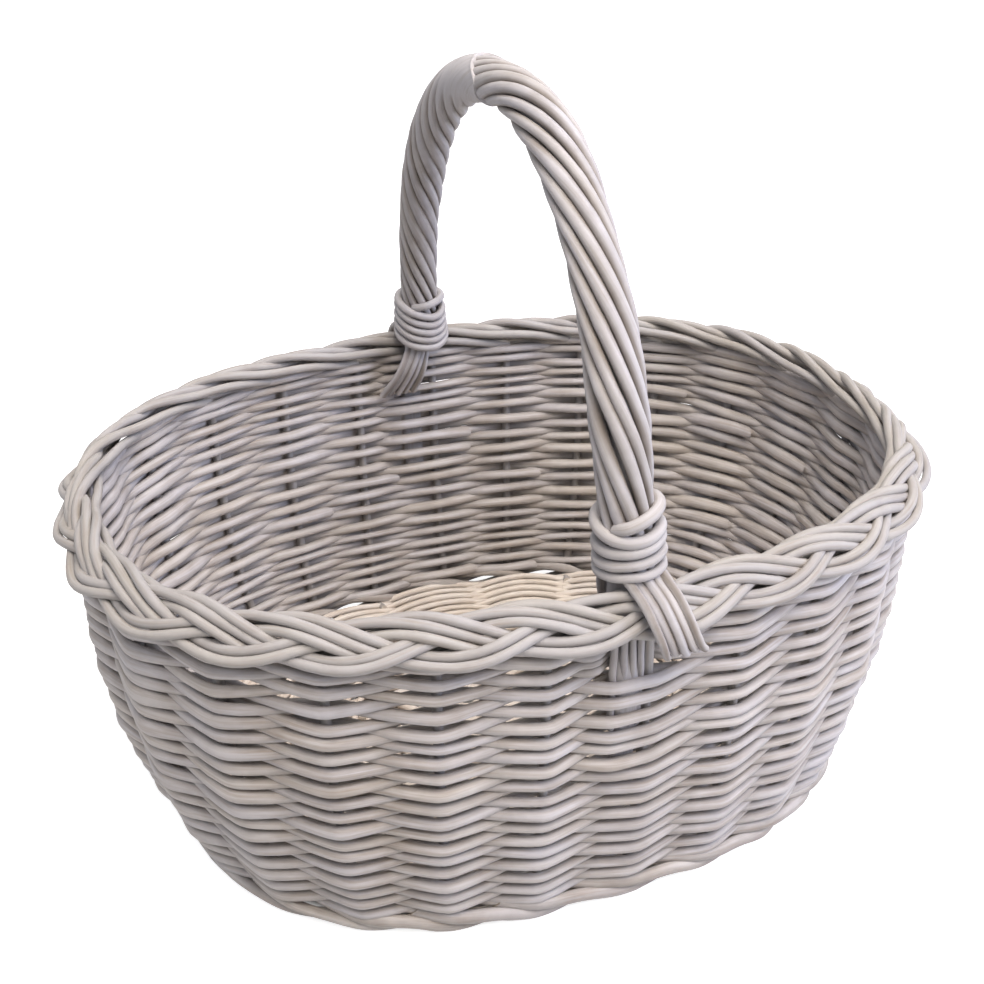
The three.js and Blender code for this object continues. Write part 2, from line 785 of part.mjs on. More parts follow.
for (let i = 0; i < baseSticks.long; i++) addPiece(`base_long_stick_${i + 1}`, longStickGeometry(i));
for (let i = 0; i < baseSticks.cross; i++) addPiece(`base_cross_stick_${i + 1}`, crossStickGeometry(i));
for (let i = 0; i < 2; i++) addPiece(`base_weaver_${i + 1}`, baseWeaverGeometry(i));
for (let i = 0; i < 3; i++) addPiece(`upsett_rod_${i + 1}`, upsettGeometry(i));
stakePlaces.forEach((place, i) => {
  addPiece(`stake_${String(i + 1).padStart(2, "0")}`, stakeGeometry(place));
});
addPiece("siding_weaver", sidingGeometry());
addPiece("handle_bow", bowGeometry());
for (let i = 0; i < roping.rods; i++) {
  addPiece(`handle_rod_${String(i + 1).padStart(2, "0")}`, ropingGeometry(i));
}
addPiece("handle_binding_near", bindingGeometry(-1));
addPiece("handle_binding_far", bindingGeometry(1));

export default basket;
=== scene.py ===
# %% [markdown]
# # A white-washed willow basket, woven rod by rod
# This lesson dresses the plain solids of an oval shopping basket. A wicker basket has no surface of its
# own: what looks like a wall is a few dozen long rods bent round upright stakes. So nearly every piece
# here is made the same way, as a round rod swept along a line, and the work lies in finding each line.
# Its sizes are in millimetres and are turned into metres when a mesh is made. Only the floor, the lamps
# and the camera are placed in metres.

import math

import bpy
import numpy as np
from mathutils import Matrix, Vector


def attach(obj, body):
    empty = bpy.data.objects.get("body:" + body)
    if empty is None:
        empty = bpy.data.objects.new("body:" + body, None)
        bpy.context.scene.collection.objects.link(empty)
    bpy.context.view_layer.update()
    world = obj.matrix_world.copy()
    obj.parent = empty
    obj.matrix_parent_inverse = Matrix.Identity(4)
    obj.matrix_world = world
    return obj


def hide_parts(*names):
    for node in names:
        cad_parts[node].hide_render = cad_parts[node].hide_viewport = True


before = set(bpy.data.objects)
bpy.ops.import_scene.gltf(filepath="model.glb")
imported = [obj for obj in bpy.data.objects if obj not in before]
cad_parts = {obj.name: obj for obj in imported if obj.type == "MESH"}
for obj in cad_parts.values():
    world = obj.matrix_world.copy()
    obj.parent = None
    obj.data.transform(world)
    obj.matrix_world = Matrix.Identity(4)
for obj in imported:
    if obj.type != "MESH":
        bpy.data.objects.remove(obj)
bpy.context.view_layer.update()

METRE = 0.001
random = np.random.default_rng(25)

# %% [markdown]
# ## The basket's own shape
# The maker works over an oval that is squarer than an ellipse. A superellipse gives it with one number
# more. Three values hold an oval: half its length, half its width and its squareness. So the base, the
# rim and every height between them can be blended.

# %% Ovals
RIM = np.array([215.0, 160.0, 2.34])
BASE = np.array([172.0, 140.0, 2.58])
RIM_HEIGHT = 176.0
BASE_EDGE = 7.8
STAKE_INSET = np.array([3.7, 3.7, 0.0])
FLARE = 2.8


def signed_power(value, power):
    return np.sign(value) * np.abs(value) ** power


def oval_point(oval, angle):
    """Points of an oval, or of one oval for each angle, at height nought."""
    power = 2 / oval[..., 2]
    x = oval[..., 0] * signed_power(np.cos(angle), power)
    y = oval[..., 1] * signed_power(np.sin(angle), power)
    return np.stack([x, y, np.zeros_like(x)], axis=-1)


def oval_normal(oval, angle):
    power = 2 - 2 / oval[..., 2]
    x = signed_power(np.cos(angle), power) / oval[..., 0]
    y = signed_power(np.sin(angle), power) / oval[..., 1]
    normal = np.stack([x, y, np.zeros_like(x)], axis=-1)
    return normal / np.linalg.norm(normal, axis=-1, keepdims=True)


def unit_vectors(vectors):
    return vectors / np.maximum(np.linalg.norm(vectors, axis=-1, keepdims=True), 1e-9)


# %% Small helpers
def lengths_along(points):
    return np.concatenate([[0.0], np.cumsum(np.linalg.norm(np.diff(points, axis=0), axis=1))])


def ramp(value, low, high):
    """Nought up to low, one from high on and straight between them."""
    return np.clip((value - low) / (high - low), 0, 1)


def hump(gap, reach):
    return np.exp(-((gap / reach) ** 2))


def wrapped(gap, lap):
    """The same gap, counted the short way round."""
    return (gap + lap / 2) % lap - lap / 2


# %% Lengths round the rim
class Way:
    """The way round an oval, so that pieces can be spaced by length."""

    def __init__(self, oval, steps=1440):
        self.angles = np.linspace(0, math.tau, steps + 1)
        self.lengths = lengths_along(oval_point(oval, self.angles))
        self.length = self.lengths[-1]

    def angle(self, distance):
        laps = np.floor(np.asarray(distance) / self.length)
        rest = distance - laps * self.length
        return np.interp(rest, self.lengths, self.angles) + laps * math.tau


rim_way = Way(RIM)
STAKES = 25
UNIT = rim_way.length / STAKES
NEAR = rim_way.length * 0.75
FAR = rim_way.length * 0.25
FIRST_STAKE = NEAR + 10.4
print(f"rim {rim_way.length:.0f} mm round, a stake every {UNIT:.1f} mm")


# %% The side through the middles of the stakes
def side_oval(z):
    share = 1 - np.clip(1 - np.asarray(z, float) / RIM_HEIGHT, 0, 1) ** FLARE
    top = RIM - STAKE_INSET
    return BASE + (top - BASE) * share[..., None]


def side_point(angle, z):
    point = oval_point(side_oval(z), angle)
    point[..., 2] = z
    return point


def side_normal(angle, z):
    step = 0.004
    along = side_point(angle + step, z) - side_point(angle - step, z)
    up = side_point(angle, z + 1.0) - side_point(angle, z - 1.0)
    return unit_vectors(np.cross(along, up))


def on_side(angle, z, out):
    return side_point(angle, z) + side_normal(angle, z) * np.asarray(out)[..., None]


# %% [markdown]
# ## One way to make every rod
# A willow rod tapers from its butt to its tip, is not quite round, and swells a little where buds sat.
# Blender's bevelled curve would give a perfect tube in one line. Building the rings in code instead lets
# each rod carry numbers of its own: where a point is along the rod and in its section, a tone for the
# whole rod, and which faces are cut ends. The materials read these, so that the grain runs along each rod.

# %% Smooth lines
def eased(at, values, slopes, places):
    """Cubics through the values, which have the given slopes where they meet."""
    k = np.clip(np.searchsorted(at, places, side="right") - 1, 0, len(at) - 2)
    width = at[k + 1] - at[k]
    u = (places - at[k]) / width
    if values.ndim > 1:
        u, width = u[:, None], width[:, None]
    through = values[k] * (1 + 2 * u) * (1 - u) ** 2 + values[k + 1] * u * u * (3 - 2 * u)
    return through + width * u * (1 - u) * (slopes[k] * (1 - u) - slopes[k + 1] * u)


def smooth_line(points, step):
    """A curve through three or more points, sampled about every step millimetres."""
    points = np.asarray(points, float)
    at = lengths_along(points)
    gaps = np.diff(at)
    slopes = np.diff(points, axis=0) / gaps[:, None]
    lean = (gaps[:-1] / (gaps[:-1] + gaps[1:]))[:, None]
    inner = slopes[:-1] * (1 - lean) + slopes[1:] * lean
    places = np.linspace(0, at[-1], max(3, int(at[-1] / step) + 1))
    return eased(at, points, np.vstack([slopes[:1], inner, slopes[-1:]]), places)


def carried_outs(along):
    """A direction across the rod that turns as little as it can along it."""
    outs = np.empty_like(along)
    out = np.array([0.31, 0.17, 0.93])
    for i, t in enumerate(along):
        out = out - t * out.dot(t)
        out = out / math.sqrt(out.dot(out))
        outs[i] = out
    return outs


# %% A rod's rings and ends
SIDES = 12
BUD_SWELL = 0.07
BUD_REACH = 3.0
WANDER_STEP = 14.0
CAP_RISE = 0.12
FLANKS_FROM = 0.6
APART_IN_NOISE = 4000


def ring_quads(rings, sides):
    """Faces that join each ring of points to the next."""
    first = np.arange(rings - 1)[:, None] * sides
    j = np.arange(sides)[None, :]
    k = (j + 1) % sides
    return np.stack([first + j, first + k, first + k + sides, first + j + sides], axis=-1).reshape(-1, 4)


def uneven(radius, lengths, rough):
    """Buds swell a rod here and there, and between them its thickness wanders."""
    swell = np.zeros(len(lengths))
    for place in np.arange(random.uniform(20, 90), lengths[-1], random.uniform(70, 130)):
        swell += BUD_SWELL * hump(lengths - place, BUD_REACH)
    spots = np.arange(0, lengths[-1] + 30, WANDER_STEP)
    return radius * (1 + swell + np.interp(lengths, spots, random.normal(0, rough, len(spots))))


# %% A rod
def rod(points, radius, outs=None, flat=1.0, cut=(1.0, 1.0), slant=0.0, rough=0.025, deep=0.0, groove=0.0):
    """A rod through the points. Its radius may change along it, and so may flat, which is how many times
    wider it is than it stands off in its out direction. cut says how far its two ends show sawn wood, and
    slant how much they lean. deep is how much painted shade it gets for lying sheltered, and groove how much
    more its flanks get."""
    count = len(points)
    along = unit_vectors(np.gradient(points, axis=0))
    if outs is None:
        outs = carried_outs(along)
    sideways = unit_vectors(np.cross(along, outs))
    outs = np.cross(sideways, along)
    lengths = lengths_along(points)
    tone = random.random()
    radius = uneven(radius, lengths, rough)
    turn = np.linspace(0, math.tau, SIDES, endpoint=False)
    u = np.cos(turn)[None, :] * radius[:, None]
    v = np.sin(turn)[None, :] * (radius * flat)[:, None]
    rings = points[:, None] + outs[:, None] * u[..., None] + sideways[:, None] * v[..., None]
    if slant:
        for end in (0, -1):
            rings[end] += along[end] * (slant * np.cos(turn) * radius[end])[:, None]
    space = np.stack([np.broadcast_to(lengths[:, None], u.shape), u, v], axis=-1)
    total = count * SIDES
    vertices, spaces = [rings.reshape(-1, 3)], [space.reshape(-1, 3)]
    sawn, pith = [np.zeros(total)], [np.zeros(total)]
    triangles = []
    for end, sign, is_cut in ((0, -1, cut[0]), (count - 1, 1, cut[1])):
        middle = rings[end].mean(axis=0) + along[end] * sign * CAP_RISE * radius[end]
        vertices += [rings[end], [middle]]
        spaces += [space[end], [[lengths[end], 0, 0]]]
        sawn.append(np.full(SIDES + 1, float(is_cut)))
        pith.append(np.append(np.zeros(SIDES), 1.0))
        ring = total + np.arange(SIDES)
        fan = [ring, np.roll(ring, -1), np.full(SIDES, total + SIDES)]
        triangles.append(np.stack(fan[::sign], axis=-1))
        total += SIDES + 1
    deep = np.broadcast_to(deep, (count,))
    # A mask of painted shade: the sheltered depth, with more on the flanks where rods press together.
    flank = groove * ramp(np.abs(np.sin(turn)), FLANKS_FROM, 1.0)
    shelter = np.concatenate([(deep[:, None] + flank).ravel(), np.repeat([deep[0], deep[-1]], SIDES + 1)])
    return {
        "vertices": np.vstack(vertices),
        "quads": ring_quads(count, SIDES),
        "triangles": np.vstack(triangles),
        "rod_space": np.vstack(spaces) + [tone * APART_IN_NOISE, 0, 0],
        "rod_tone": np.full(total, tone),
        "rod_sawn": np.concatenate(sawn),
        "rod_pith": np.concatenate(pith),
        "rod_shade_mask": shelter,
    }


# %% From rods to a piece
def give_piece(name, rods, material, nodes):
    """One mesh of many rods, riding on the basket's body and standing for the named solids."""
    offsets = np.cumsum([0] + [len(r["vertices"]) for r in rods[:-1]])
    vertices = np.vstack([r["vertices"] for r in rods]) * METRE
    quads = np.vstack([r["quads"] + o for r, o in zip(rods, offsets)])
    triangles = np.vstack([r["triangles"] + o for r, o in zip(rods, offsets)])
    mesh = bpy.data.meshes.new(name)
    mesh.vertices.add(len(vertices))
    mesh.vertices.foreach_set("co", vertices.astype(np.float32).ravel())
    corners = np.concatenate([quads.ravel(), triangles.ravel()])
    mesh.loops.add(len(corners))
    mesh.loops.foreach_set("vertex_index", corners.astype(np.int32))
    mesh.polygons.add(len(quads) + len(triangles))
    starts = np.concatenate([np.arange(len(quads)) * 4, quads.size + np.arange(len(triangles)) * 3])
    mesh.polygons.foreach_set("loop_start", starts.astype(np.int32))
    mesh.polygons.foreach_set("use_smooth", np.full(len(starts), True))
    mesh.update(calc_edges=True)
    for key in ("rod_space", "rod_tone", "rod_sawn", "rod_pith", "rod_shade_mask"):
        values = np.concatenate([r[key] for r in rods])
        kind, field, scale = ("FLOAT", "value", 1) if values.ndim == 1 else ("FLOAT_VECTOR", "vector", METRE)
        attribute = mesh.attributes.new(key, kind, "POINT")
        attribute.data.foreach_set(field, (values * scale).astype(np.float32).ravel())
    mesh.materials.append(material)
    piece = bpy.data.objects.new(name, mesh)
    bpy.context.scene.collection.objects.link(piece)
    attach(piece, "root")
    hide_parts(*nodes)
    print(f"{name}: {len(rods)} rods, {len(vertices)} points")


# %% [markdown]
# ## The finish
# The real basket is bare willow brushed with thinned white paint, which streaks along the rods and wears
# Three effects make it, each a node group that every material of the basket uses with its
# own values: the grain of a rod, the wash that covers it, and painted shade in sheltered grooves, broken up
# by patches of grime.
# Groups give out only masks and numbers that vary; the Principled BSDF stays in the material.

# %% Node helpers
def add_group(name, inputs, outputs):
    """An empty shader node group with named sockets for numbers, and its two end nodes."""
    group = bpy.data.node_groups.new(name, "ShaderNodeTree")
    for label, value in inputs.items():
        socket = group.interface.new_socket(label, in_out="INPUT", socket_type="NodeSocketFloat")
        socket.default_value = value
    for label in outputs:
        group.interface.new_socket(label, in_out="OUTPUT", socket_type="NodeSocketFloat")
    start = group.nodes.new("NodeGroupInput")
    end = group.nodes.new("NodeGroupOutput")
    return group, start, end


def read_attribute(tree, name):
    node = tree.nodes.new("ShaderNodeAttribute")
    node.attribute_name = name
    return node


def feed(tree, socket, value):
    """Sets a socket to a number or a colour, or links another node's output to it."""
    if isinstance(value, (int, float)):
        socket.default_value = value
    elif isinstance(value, tuple):
        socket.default_value = (*value, 1.0)
    else:
        tree.links.new(value, socket)


def add_math(tree, operation, *values, clamp=False):
    node = tree.nodes.new("ShaderNodeMath")
    node.operation = operation
    node.use_clamp = clamp
    for socket, value in zip(node.inputs, values):
        feed(tree, socket, value)
    return node.outputs[0]


def add_noise(tree, vector, scale, detail, roughness=0.55):
    node = tree.nodes.new("ShaderNodeTexNoise")
    node.inputs["Detail"].default_value = detail
    node.inputs["Roughness"].default_value = roughness
    tree.links.new(vector, node.inputs["Vector"])
    feed(tree, node.inputs["Scale"], scale)
    return node.outputs["Fac"]


def add_stretch(tree, vector, factors):
    node = tree.nodes.new("ShaderNodeVectorMath")
    node.operation = "MULTIPLY"
    node.inputs[1].default_value = factors
    tree.links.new(vector, node.inputs[0])
    return node.outputs["Vector"]


def map_range(tree, value, low, high, to_low=0.0, to_high=1.0):
    node = tree.nodes.new("ShaderNodeMapRange")
    labels = ("Value", "From Min", "From Max", "To Min", "To Max")
    for label, amount in zip(labels, (value, low, high, to_low, to_high)):
        feed(tree, node.inputs[label], amount)
    return node.outputs["Result"]


# Mix nodes of colour type keep their sockets at fixed places among those of the other types.
MIX_INPUTS = (0, 6, 7)
MIX_OUTPUT = 2


def colour_mix(tree, share, a, b):
    node = tree.nodes.new("ShaderNodeMix")
    node.data_type = "RGBA"
    node.clamp_factor = True
    for index, value in zip(MIX_INPUTS, (share, a, b)):
        feed(tree, node.inputs[index], value)
    return node.outputs[MIX_OUTPUT]


# %% The grain of a rod
FINENESS = 900.0
DRAWN_OUT = (0.035, 1.0, 1.0)
HALF_DRAWN_OUT = (0.35, 1.0, 1.0)


def make_grain_group():
    """Fine lines along each rod and the slow change of tone from rod to rod."""
    group, start, end = add_group("rod grain", {"Fineness": FINENESS}, ["Lines", "Blotches", "Tone"])
    space = read_attribute(group, "rod_space")
    long_way = add_stretch(group, space.outputs["Vector"], DRAWN_OUT)
    lines = add_noise(group, long_way, start.outputs["Fineness"], detail=3.0, roughness=0.6)
    short_way = add_stretch(group, space.outputs["Vector"], HALF_DRAWN_OUT)
    blotches = add_noise(group, short_way, scale=120.0, detail=2.0)
    tone = read_attribute(group, "rod_tone")
    group.links.new(lines, end.inputs["Lines"])
    group.links.new(blotches, end.inputs["Blotches"])
    group.links.new(tone.outputs["Fac"], end.inputs["Tone"])
    return group


# %% The wash of thinned paint
WORN_ON_LINES = 0.55
WORN_IN_BLOTCHES = 0.35
BARE_BETWEEN = (0.55, 0.86)


def make_wash_group():
    """Where the paint covers: a mask of bare wood, and how thick the paint lies."""
    needs = {"Wear": 0.3, "Lines": 0.5, "Blotches": 0.5}
    group, start, end = add_group("paint wash", needs, ["Bare", "Thickness"])
    place = group.nodes.new("ShaderNodeTexCoord")
    broad = add_noise(group, place.outputs["Object"], scale=14.0, detail=3.0)
    fine = add_noise(group, place.outputs["Object"], scale=420.0, detail=4.0, roughness=0.65)
    worn = add_math(group, "MULTIPLY", broad, start.outputs["Wear"])
    for label, amount in (("Lines", WORN_ON_LINES), ("Blotches", WORN_IN_BLOTCHES)):
        worn = add_math(group, "ADD", worn, add_math(group, "MULTIPLY", start.outputs[label], amount))
    bare = map_range(group, worn, *BARE_BETWEEN)
    thickness = add_math(group, "MULTIPLY", fine, add_math(group, "SUBTRACT", 1.0, bare))
    group.links.new(bare, end.inputs["Bare"])
    group.links.new(thickness, end.inputs["Thickness"])
    return group


# %% Painted shade where rods shelter each other, broken up by patches of grime
NOISE_SPAN = (0.3, 0.7)
PATCHINESS = 0.25


def make_dirt_and_shade_group():
    """A mask of painted shade that grows where a rod dives behind another or lies in a groove, broken up by
    noise into patches of grime.
    """
    group, start, end = add_group("settled dirt", {"Amount": 0.5}, ["Dirt"])
    shelter = read_attribute(group, "rod_shade_mask")
    place = group.nodes.new("ShaderNodeTexCoord")
    patch = add_noise(group, place.outputs["Object"], scale=60.0, detail=3.0)
    patchy = map_range(group, patch, *NOISE_SPAN, -PATCHINESS, PATCHINESS)
    raised = add_math(group, "ADD", shelter.outputs["Fac"], patchy)
    dirt_and_shade = add_math(group, "MULTIPLY", raised, start.outputs["Amount"], clamp=True)
    group.links.new(dirt_and_shade, end.inputs["Dirt"])
    return group


grain_group = make_grain_group()
wash_group = make_wash_group()
dirt_and_shade_group = make_dirt_and_shade_group()


# %% A willow material
def place_group(tree, group, **values):
    node = tree.nodes.new("ShaderNodeGroup")
    node.node_tree = group
    for label, value in values.items():
        feed(tree, node.inputs[label], value)
    return node


STREAKS = 0.16
SMOOTHEST = 0.52
ROUGHEST = 0.74
GRAIN_HEIGHT = 0.7
PAINT_HEIGHT = 0.5
# The dark brown below is painted into sheltered grooves as shade, and into scattered patches as grime.
DIRT_AND_SHADE = (0.16, 0.13, 0.105)
CUT_WOOD = (0.44, 0.39, 0.33)
PITH = (0.26, 0.21, 0.165)


def make_willow(name, paint, warm_paint, wood, wear, dirt_and_shade):
    """White-washed willow: two paint tones, the wood under them, and the three shared effects."""
    material = bpy.data.materials.new(name)
    material.use_nodes = True
    tree = material.node_tree
    shader = tree.nodes["Principled BSDF"]
    grain = place_group(tree, grain_group, Fineness=FINENESS)
    wash = place_group(tree, wash_group, Wear=wear, Lines=grain.outputs["Lines"],
                       Blotches=grain.outputs["Blotches"])
    shade_and_dirt_node = place_group(tree, dirt_and_shade_group, Amount=dirt_and_shade)
    tones = colour_mix(tree, grain.outputs["Tone"], paint, warm_paint)
    shade = map_range(tree, grain.outputs["Lines"], *NOISE_SPAN, 0.0, STREAKS)
    streaked = colour_mix(tree, shade, tones, wood)
    covered = colour_mix(tree, wash.outputs["Bare"], streaked, wood)
    # Painted shade: the dark brown darkens grooves and crossings by the shade mask, and patches of grime by
    # noise.
    shaded_and_dirty = colour_mix(tree, shade_and_dirt_node.outputs["Dirt"], covered, DIRT_AND_SHADE)
    sawn = read_attribute(tree, "rod_sawn")
    pith = read_attribute(tree, "rod_pith")
    end_wood = colour_mix(tree, pith.outputs["Fac"], CUT_WOOD, PITH)
    final = colour_mix(tree, sawn.outputs["Fac"], shaded_and_dirty, end_wood)
    tree.links.new(final, shader.inputs["Base Color"])
    tree.links.new(map_range(tree, wash.outputs["Thickness"], 0.2, 0.7, SMOOTHEST, ROUGHEST),
                   shader.inputs["Roughness"])
    shader.inputs["Specular IOR Level"].default_value = 0.35
    height = add_math(tree, "ADD", add_math(tree, "MULTIPLY", grain.outputs["Lines"], GRAIN_HEIGHT),
                      add_math(tree, "MULTIPLY", wash.outputs["Thickness"], PAINT_HEIGHT))
    bump = tree.nodes.new("ShaderNodeBump")
    bump.inputs["Strength"].default_value = 0.35
    bump.inputs["Distance"].default_value = 0.0004
    tree.links.new(height, bump.inputs["Height"])
    tree.links.new(bump.outputs["Normal"], shader.inputs["Normal"])
    return material


# The border's and the handle's paints are darker copies of the siding's: painted shade that offsets the
# extra light the lamps throw on the border's top and on the handle.
side_willow = make_willow(
    "washed willow, siding", paint=(0.51, 0.495, 0.51), warm_paint=(0.535, 0.505, 0.48),
    wood=(0.33, 0.275, 0.225), wear=0.3, dirt_and_shade=0.55)
border_willow = make_willow(
    "washed willow, border", paint=(0.376, 0.364, 0.367), warm_paint=(0.39, 0.372, 0.353),
    wood=(0.28, 0.24, 0.2), wear=0.25, dirt_and_shade=0.55)
handle_willow = make_willow(
    "washed willow, handle", paint=(0.452, 0.442, 0.468), warm_paint=(0.462, 0.445, 0.447),
    wood=(0.31, 0.27, 0.23), wear=0.2, dirt_and_shade=0.65)
base_willow = make_willow(
    "washed willow, base", paint=(0.70, 0.655, 0.61), warm_paint=(0.72, 0.665, 0.60),
    wood=(0.5, 0.41, 0.33), wear=0.35, dirt_and_shade=0.4)
print("materials made")

# %% [markdown]
# ## The base
# A basket starts from its bottom: five slit sticks with three long ones pushed through, opened out
# like rays and woven round with thin rods, over one ray and under the next. Two weavers chase
# each other, because an even count of rays would let a single one take the same side every time.

# %% The rays of the base
LONG_STICKS = 3
CROSS_STICKS = 5
LONG_PITCH = 13.0
CROSS_PITCH = 25.0
STICK_RADIUS = 2.6
STICK_END_INSET = 4.4
CROWN = 4.0
BLOCK = np.array([64.0, 30.0, 2.2])
BASE_RIM = BASE - [STICK_END_INSET, STICK_END_INSET, 0]
SPOKES = 2 * (LONG_STICKS + CROSS_STICKS)
base_way = Way(BASE_RIM)


def base_height(share):
    return BASE_EDGE + CROWN * (1 - np.asarray(share, float) ** 2)


def block_angle(spoke):
    """A ray's angle where it leaves the block of crossed sticks."""
    quarter = SPOKES // 4
    q = spoke % SPOKES
    mirrored = SPOKES - q if q > 2 * quarter else q
    first = 2 * quarter - mirrored if mirrored > quarter else mirrored
    power = BLOCK[2] / 2
    if first <= (LONG_STICKS - 1) / 2:
        angle = math.asin((first * LONG_PITCH / BLOCK[1]) ** power)
    else:
        angle = math.acos(((quarter - first) * CROSS_PITCH / BLOCK[0]) ** power)
    if mirrored > quarter:
        angle = math.pi - angle
    return math.tau - angle if q > 2 * quarter else angle


def ray_point(spoke, share):
    """Points of a ray; spoke may lie between two rays, where a weaver crosses from one to the next."""
    spoke = np.asarray(spoke, float)
    share = np.asarray(share, float)
    whole = np.arange(SPOKES + 1)
    inner = np.unwrap([block_angle(s) for s in whole])
    inner[-1] = inner[0] + math.tau
    laps = np.floor(spoke / SPOKES)
    start = np.interp(spoke - laps * SPOKES, whole, inner) + laps * math.tau
    outer = base_way.angle(spoke / SPOKES * base_way.length)
    point = oval_point(BLOCK + (BASE_RIM - BLOCK) * share[..., None], start + (outer - start) * share)
    point[..., 2] = base_height(share)
    return point


# %% The base sticks
def base_stick(first_spoke, second_spoke):
    shares = np.linspace(1.0, 0.0, 9)
    ends = [ray_point(np.full(9, s), shares) for s in (first_spoke, second_spoke)]
    line = smooth_line(np.vstack([ends[0], ends[1][::-1]]), 4.0)
    return rod(line, STICK_RADIUS, slant=0.3)


long_sticks = [base_stick((s + SPOKES) % SPOKES, SPOKES // 2 - s) for s in (-1, 0, 1)]
cross_sticks = [base_stick(SPOKES // 4 + 2 - n, SPOKES - (SPOKES // 4 + 2 - n)) for n in range(CROSS_STICKS)]
give_piece("base_sticks", long_sticks + cross_sticks, base_willow,
           [f"base_long_stick_{i + 1}" for i in range(3)] + [f"base_cross_stick_{i + 1}" for i in range(5)])

# %% The weaving of the base
BASE_ROWS = 28
BASE_WEAVER = 1.95
BASE_ROD_LAPS = 1.6
BASE_PRESSED = 0.5
RAY_STEPS = 4
BLOCK_ROD = 1.9
BLOCK_ROWS = (-26.5, -22.3, -18.1, -8.7, -4.5, 4.5, 8.7, 18.1, 22.3, 26.5)


def base_weaver(number):
    """One of the two weavers, as short rods laid end to end on the base's spiral."""
    laps = BASE_ROWS // 2
    k = np.arange(0, laps * SPOKES + 0.01, 1 / RAY_STEPS)
    share = 0.03 + 1.03 * (number + 2 * k / SPOKES) / (BASE_ROWS + 1)
    line = ray_point(k, share)
    line[:, 2] += (STICK_RADIUS + BASE_WEAVER - BASE_PRESSED) * -np.cos(math.pi * (k + number))
    pieces = []
    rod_steps = int(BASE_ROD_LAPS * SPOKES * RAY_STEPS)
    for start in range(0, len(k) - 8, rod_steps):
        fine = smooth_line(line[start:start + rod_steps + 3], 3.0)
        pieces.append(rod(fine, BASE_WEAVER * np.linspace(1.12, 0.82, len(fine)), slant=0.4))
    return pieces


block_rows = []
for row, y in enumerate(BLOCK_ROWS):
    x = np.linspace(-60, 60, 41)
    z = base_height(0) + (STICK_RADIUS + 1.2) * np.cos(math.pi * (x / CROSS_PITCH + row))
    block_rows.append(rod(smooth_line(np.stack([x, np.full_like(x, y), z], -1), 3.0), BLOCK_ROD, slant=0.4))
give_piece("base_weaving", base_weaver(0) + base_weaver(1) + block_rows, base_willow,
           ["base_weaver_1", "base_weaver_2"])

# %% [markdown]
# ## The upsett
# Three thick rods run round the foot of the stakes as a wale: each passes in front of two stakes and
# behind one, a step after its neighbour. They set the stakes upright, and the basket stands on
# them. Their undersides are worn flat, so the rings are pressed to the floor after sweeping.

# %% The three wale rods
WALE = 3.05
WALE_SPANS = ((47, 95), (45, 93), (43, 97))
WALE_AWAY = WALE + 2.4
WALE_OUT = np.array([WALE_AWAY, WALE_AWAY + 0.7, WALE_AWAY, 0.6, -WALE_AWAY, 0.4])
WALE_HEIGHT = np.array([9.5, 8.2, 3.4, 3.3, 12.4, 12.8])
WALE_TIP_STEP = 0.45
WALE_TIP_OUT = 0.7
WALE_TIP_HEIGHT = 11.6


def wale_rod(number):
    """Steps are half the way from stake to stake. Each tip ends behind the butt of the rod that follows."""
    first, last = WALE_SPANS[number]
    steps = np.arange(first, last + 1)
    turn = (steps + 2 * number) % 6
    out = np.append(WALE_OUT[turn] + random.normal(0, 0.2, len(steps)), WALE_TIP_OUT)
    z = np.append(WALE_HEIGHT[turn] + random.normal(0, 0.3, len(steps)), WALE_TIP_HEIGHT)
    steps = np.append(steps, last + WALE_TIP_STEP)
    place = FIRST_STAKE + steps / 2 * UNIT
    angle = rim_way.angle(place)
    line = oval_point(side_oval(z), angle) + oval_normal(side_oval(z), angle) * out[:, None]
    line[:, 2] = z
    fine = smooth_line(line, 3.0)[1:]
    made = rod(fine, WALE * np.linspace(1.06, 0.88, len(fine)), slant=0.8, deep=0.1, groove=0.6)
    made["vertices"][:, 2] = np.maximum(made["vertices"][:, 2], 0.0)
    return made


give_piece("upsett_wale", [wale_rod(n) for n in range(3)], side_willow,
           [f"upsett_rod_{i + 1}" for i in range(3)])

# %% [markdown]
# ## Stakes that become the border
# Each of the 25 upright stakes is turned down at the rim and plaited with its neighbours. Every rod of
# the plait follows the same path, one stake after the next, so only one path has to be found. It starts
# as a loose wave over and under, and copies of it are then pushed apart, as the maker's hands do, which
# no formula gives. The border's small section can't hold round rods that only touch, so at the tightest
# crossings they still sink into each other, like squeezed willow. The printed distance shows how far.

# %% A tight plait from a loose one
PLAIT_RADIUS = 2.4
STROKES = 5
WAVE_UNITS = 3.0
RUN_IN = 1.5
PLAIT_UNITS = 8.5
LAG = 0.35
POINTS_PER_UNIT = 6
HALF_BAND = 17.0
HALF_THICK = 6.4
RUN_IN_PLACES = [0.0, 0.35, 0.75, 1.15, 1.5]
RUN_IN_ACROSS = [1.5, -6.0, -11.0, -13.5, -14.5]
RUN_IN_OVER = [-8.6, -8.2, -6.8, -4.6, -1.5]
SWING_ACROSS = 10.5
DRIFT_ACROSS = 1.9 * PLAIT_RADIUS
SWING_OVER = 3.0
END_SINK = 3.5


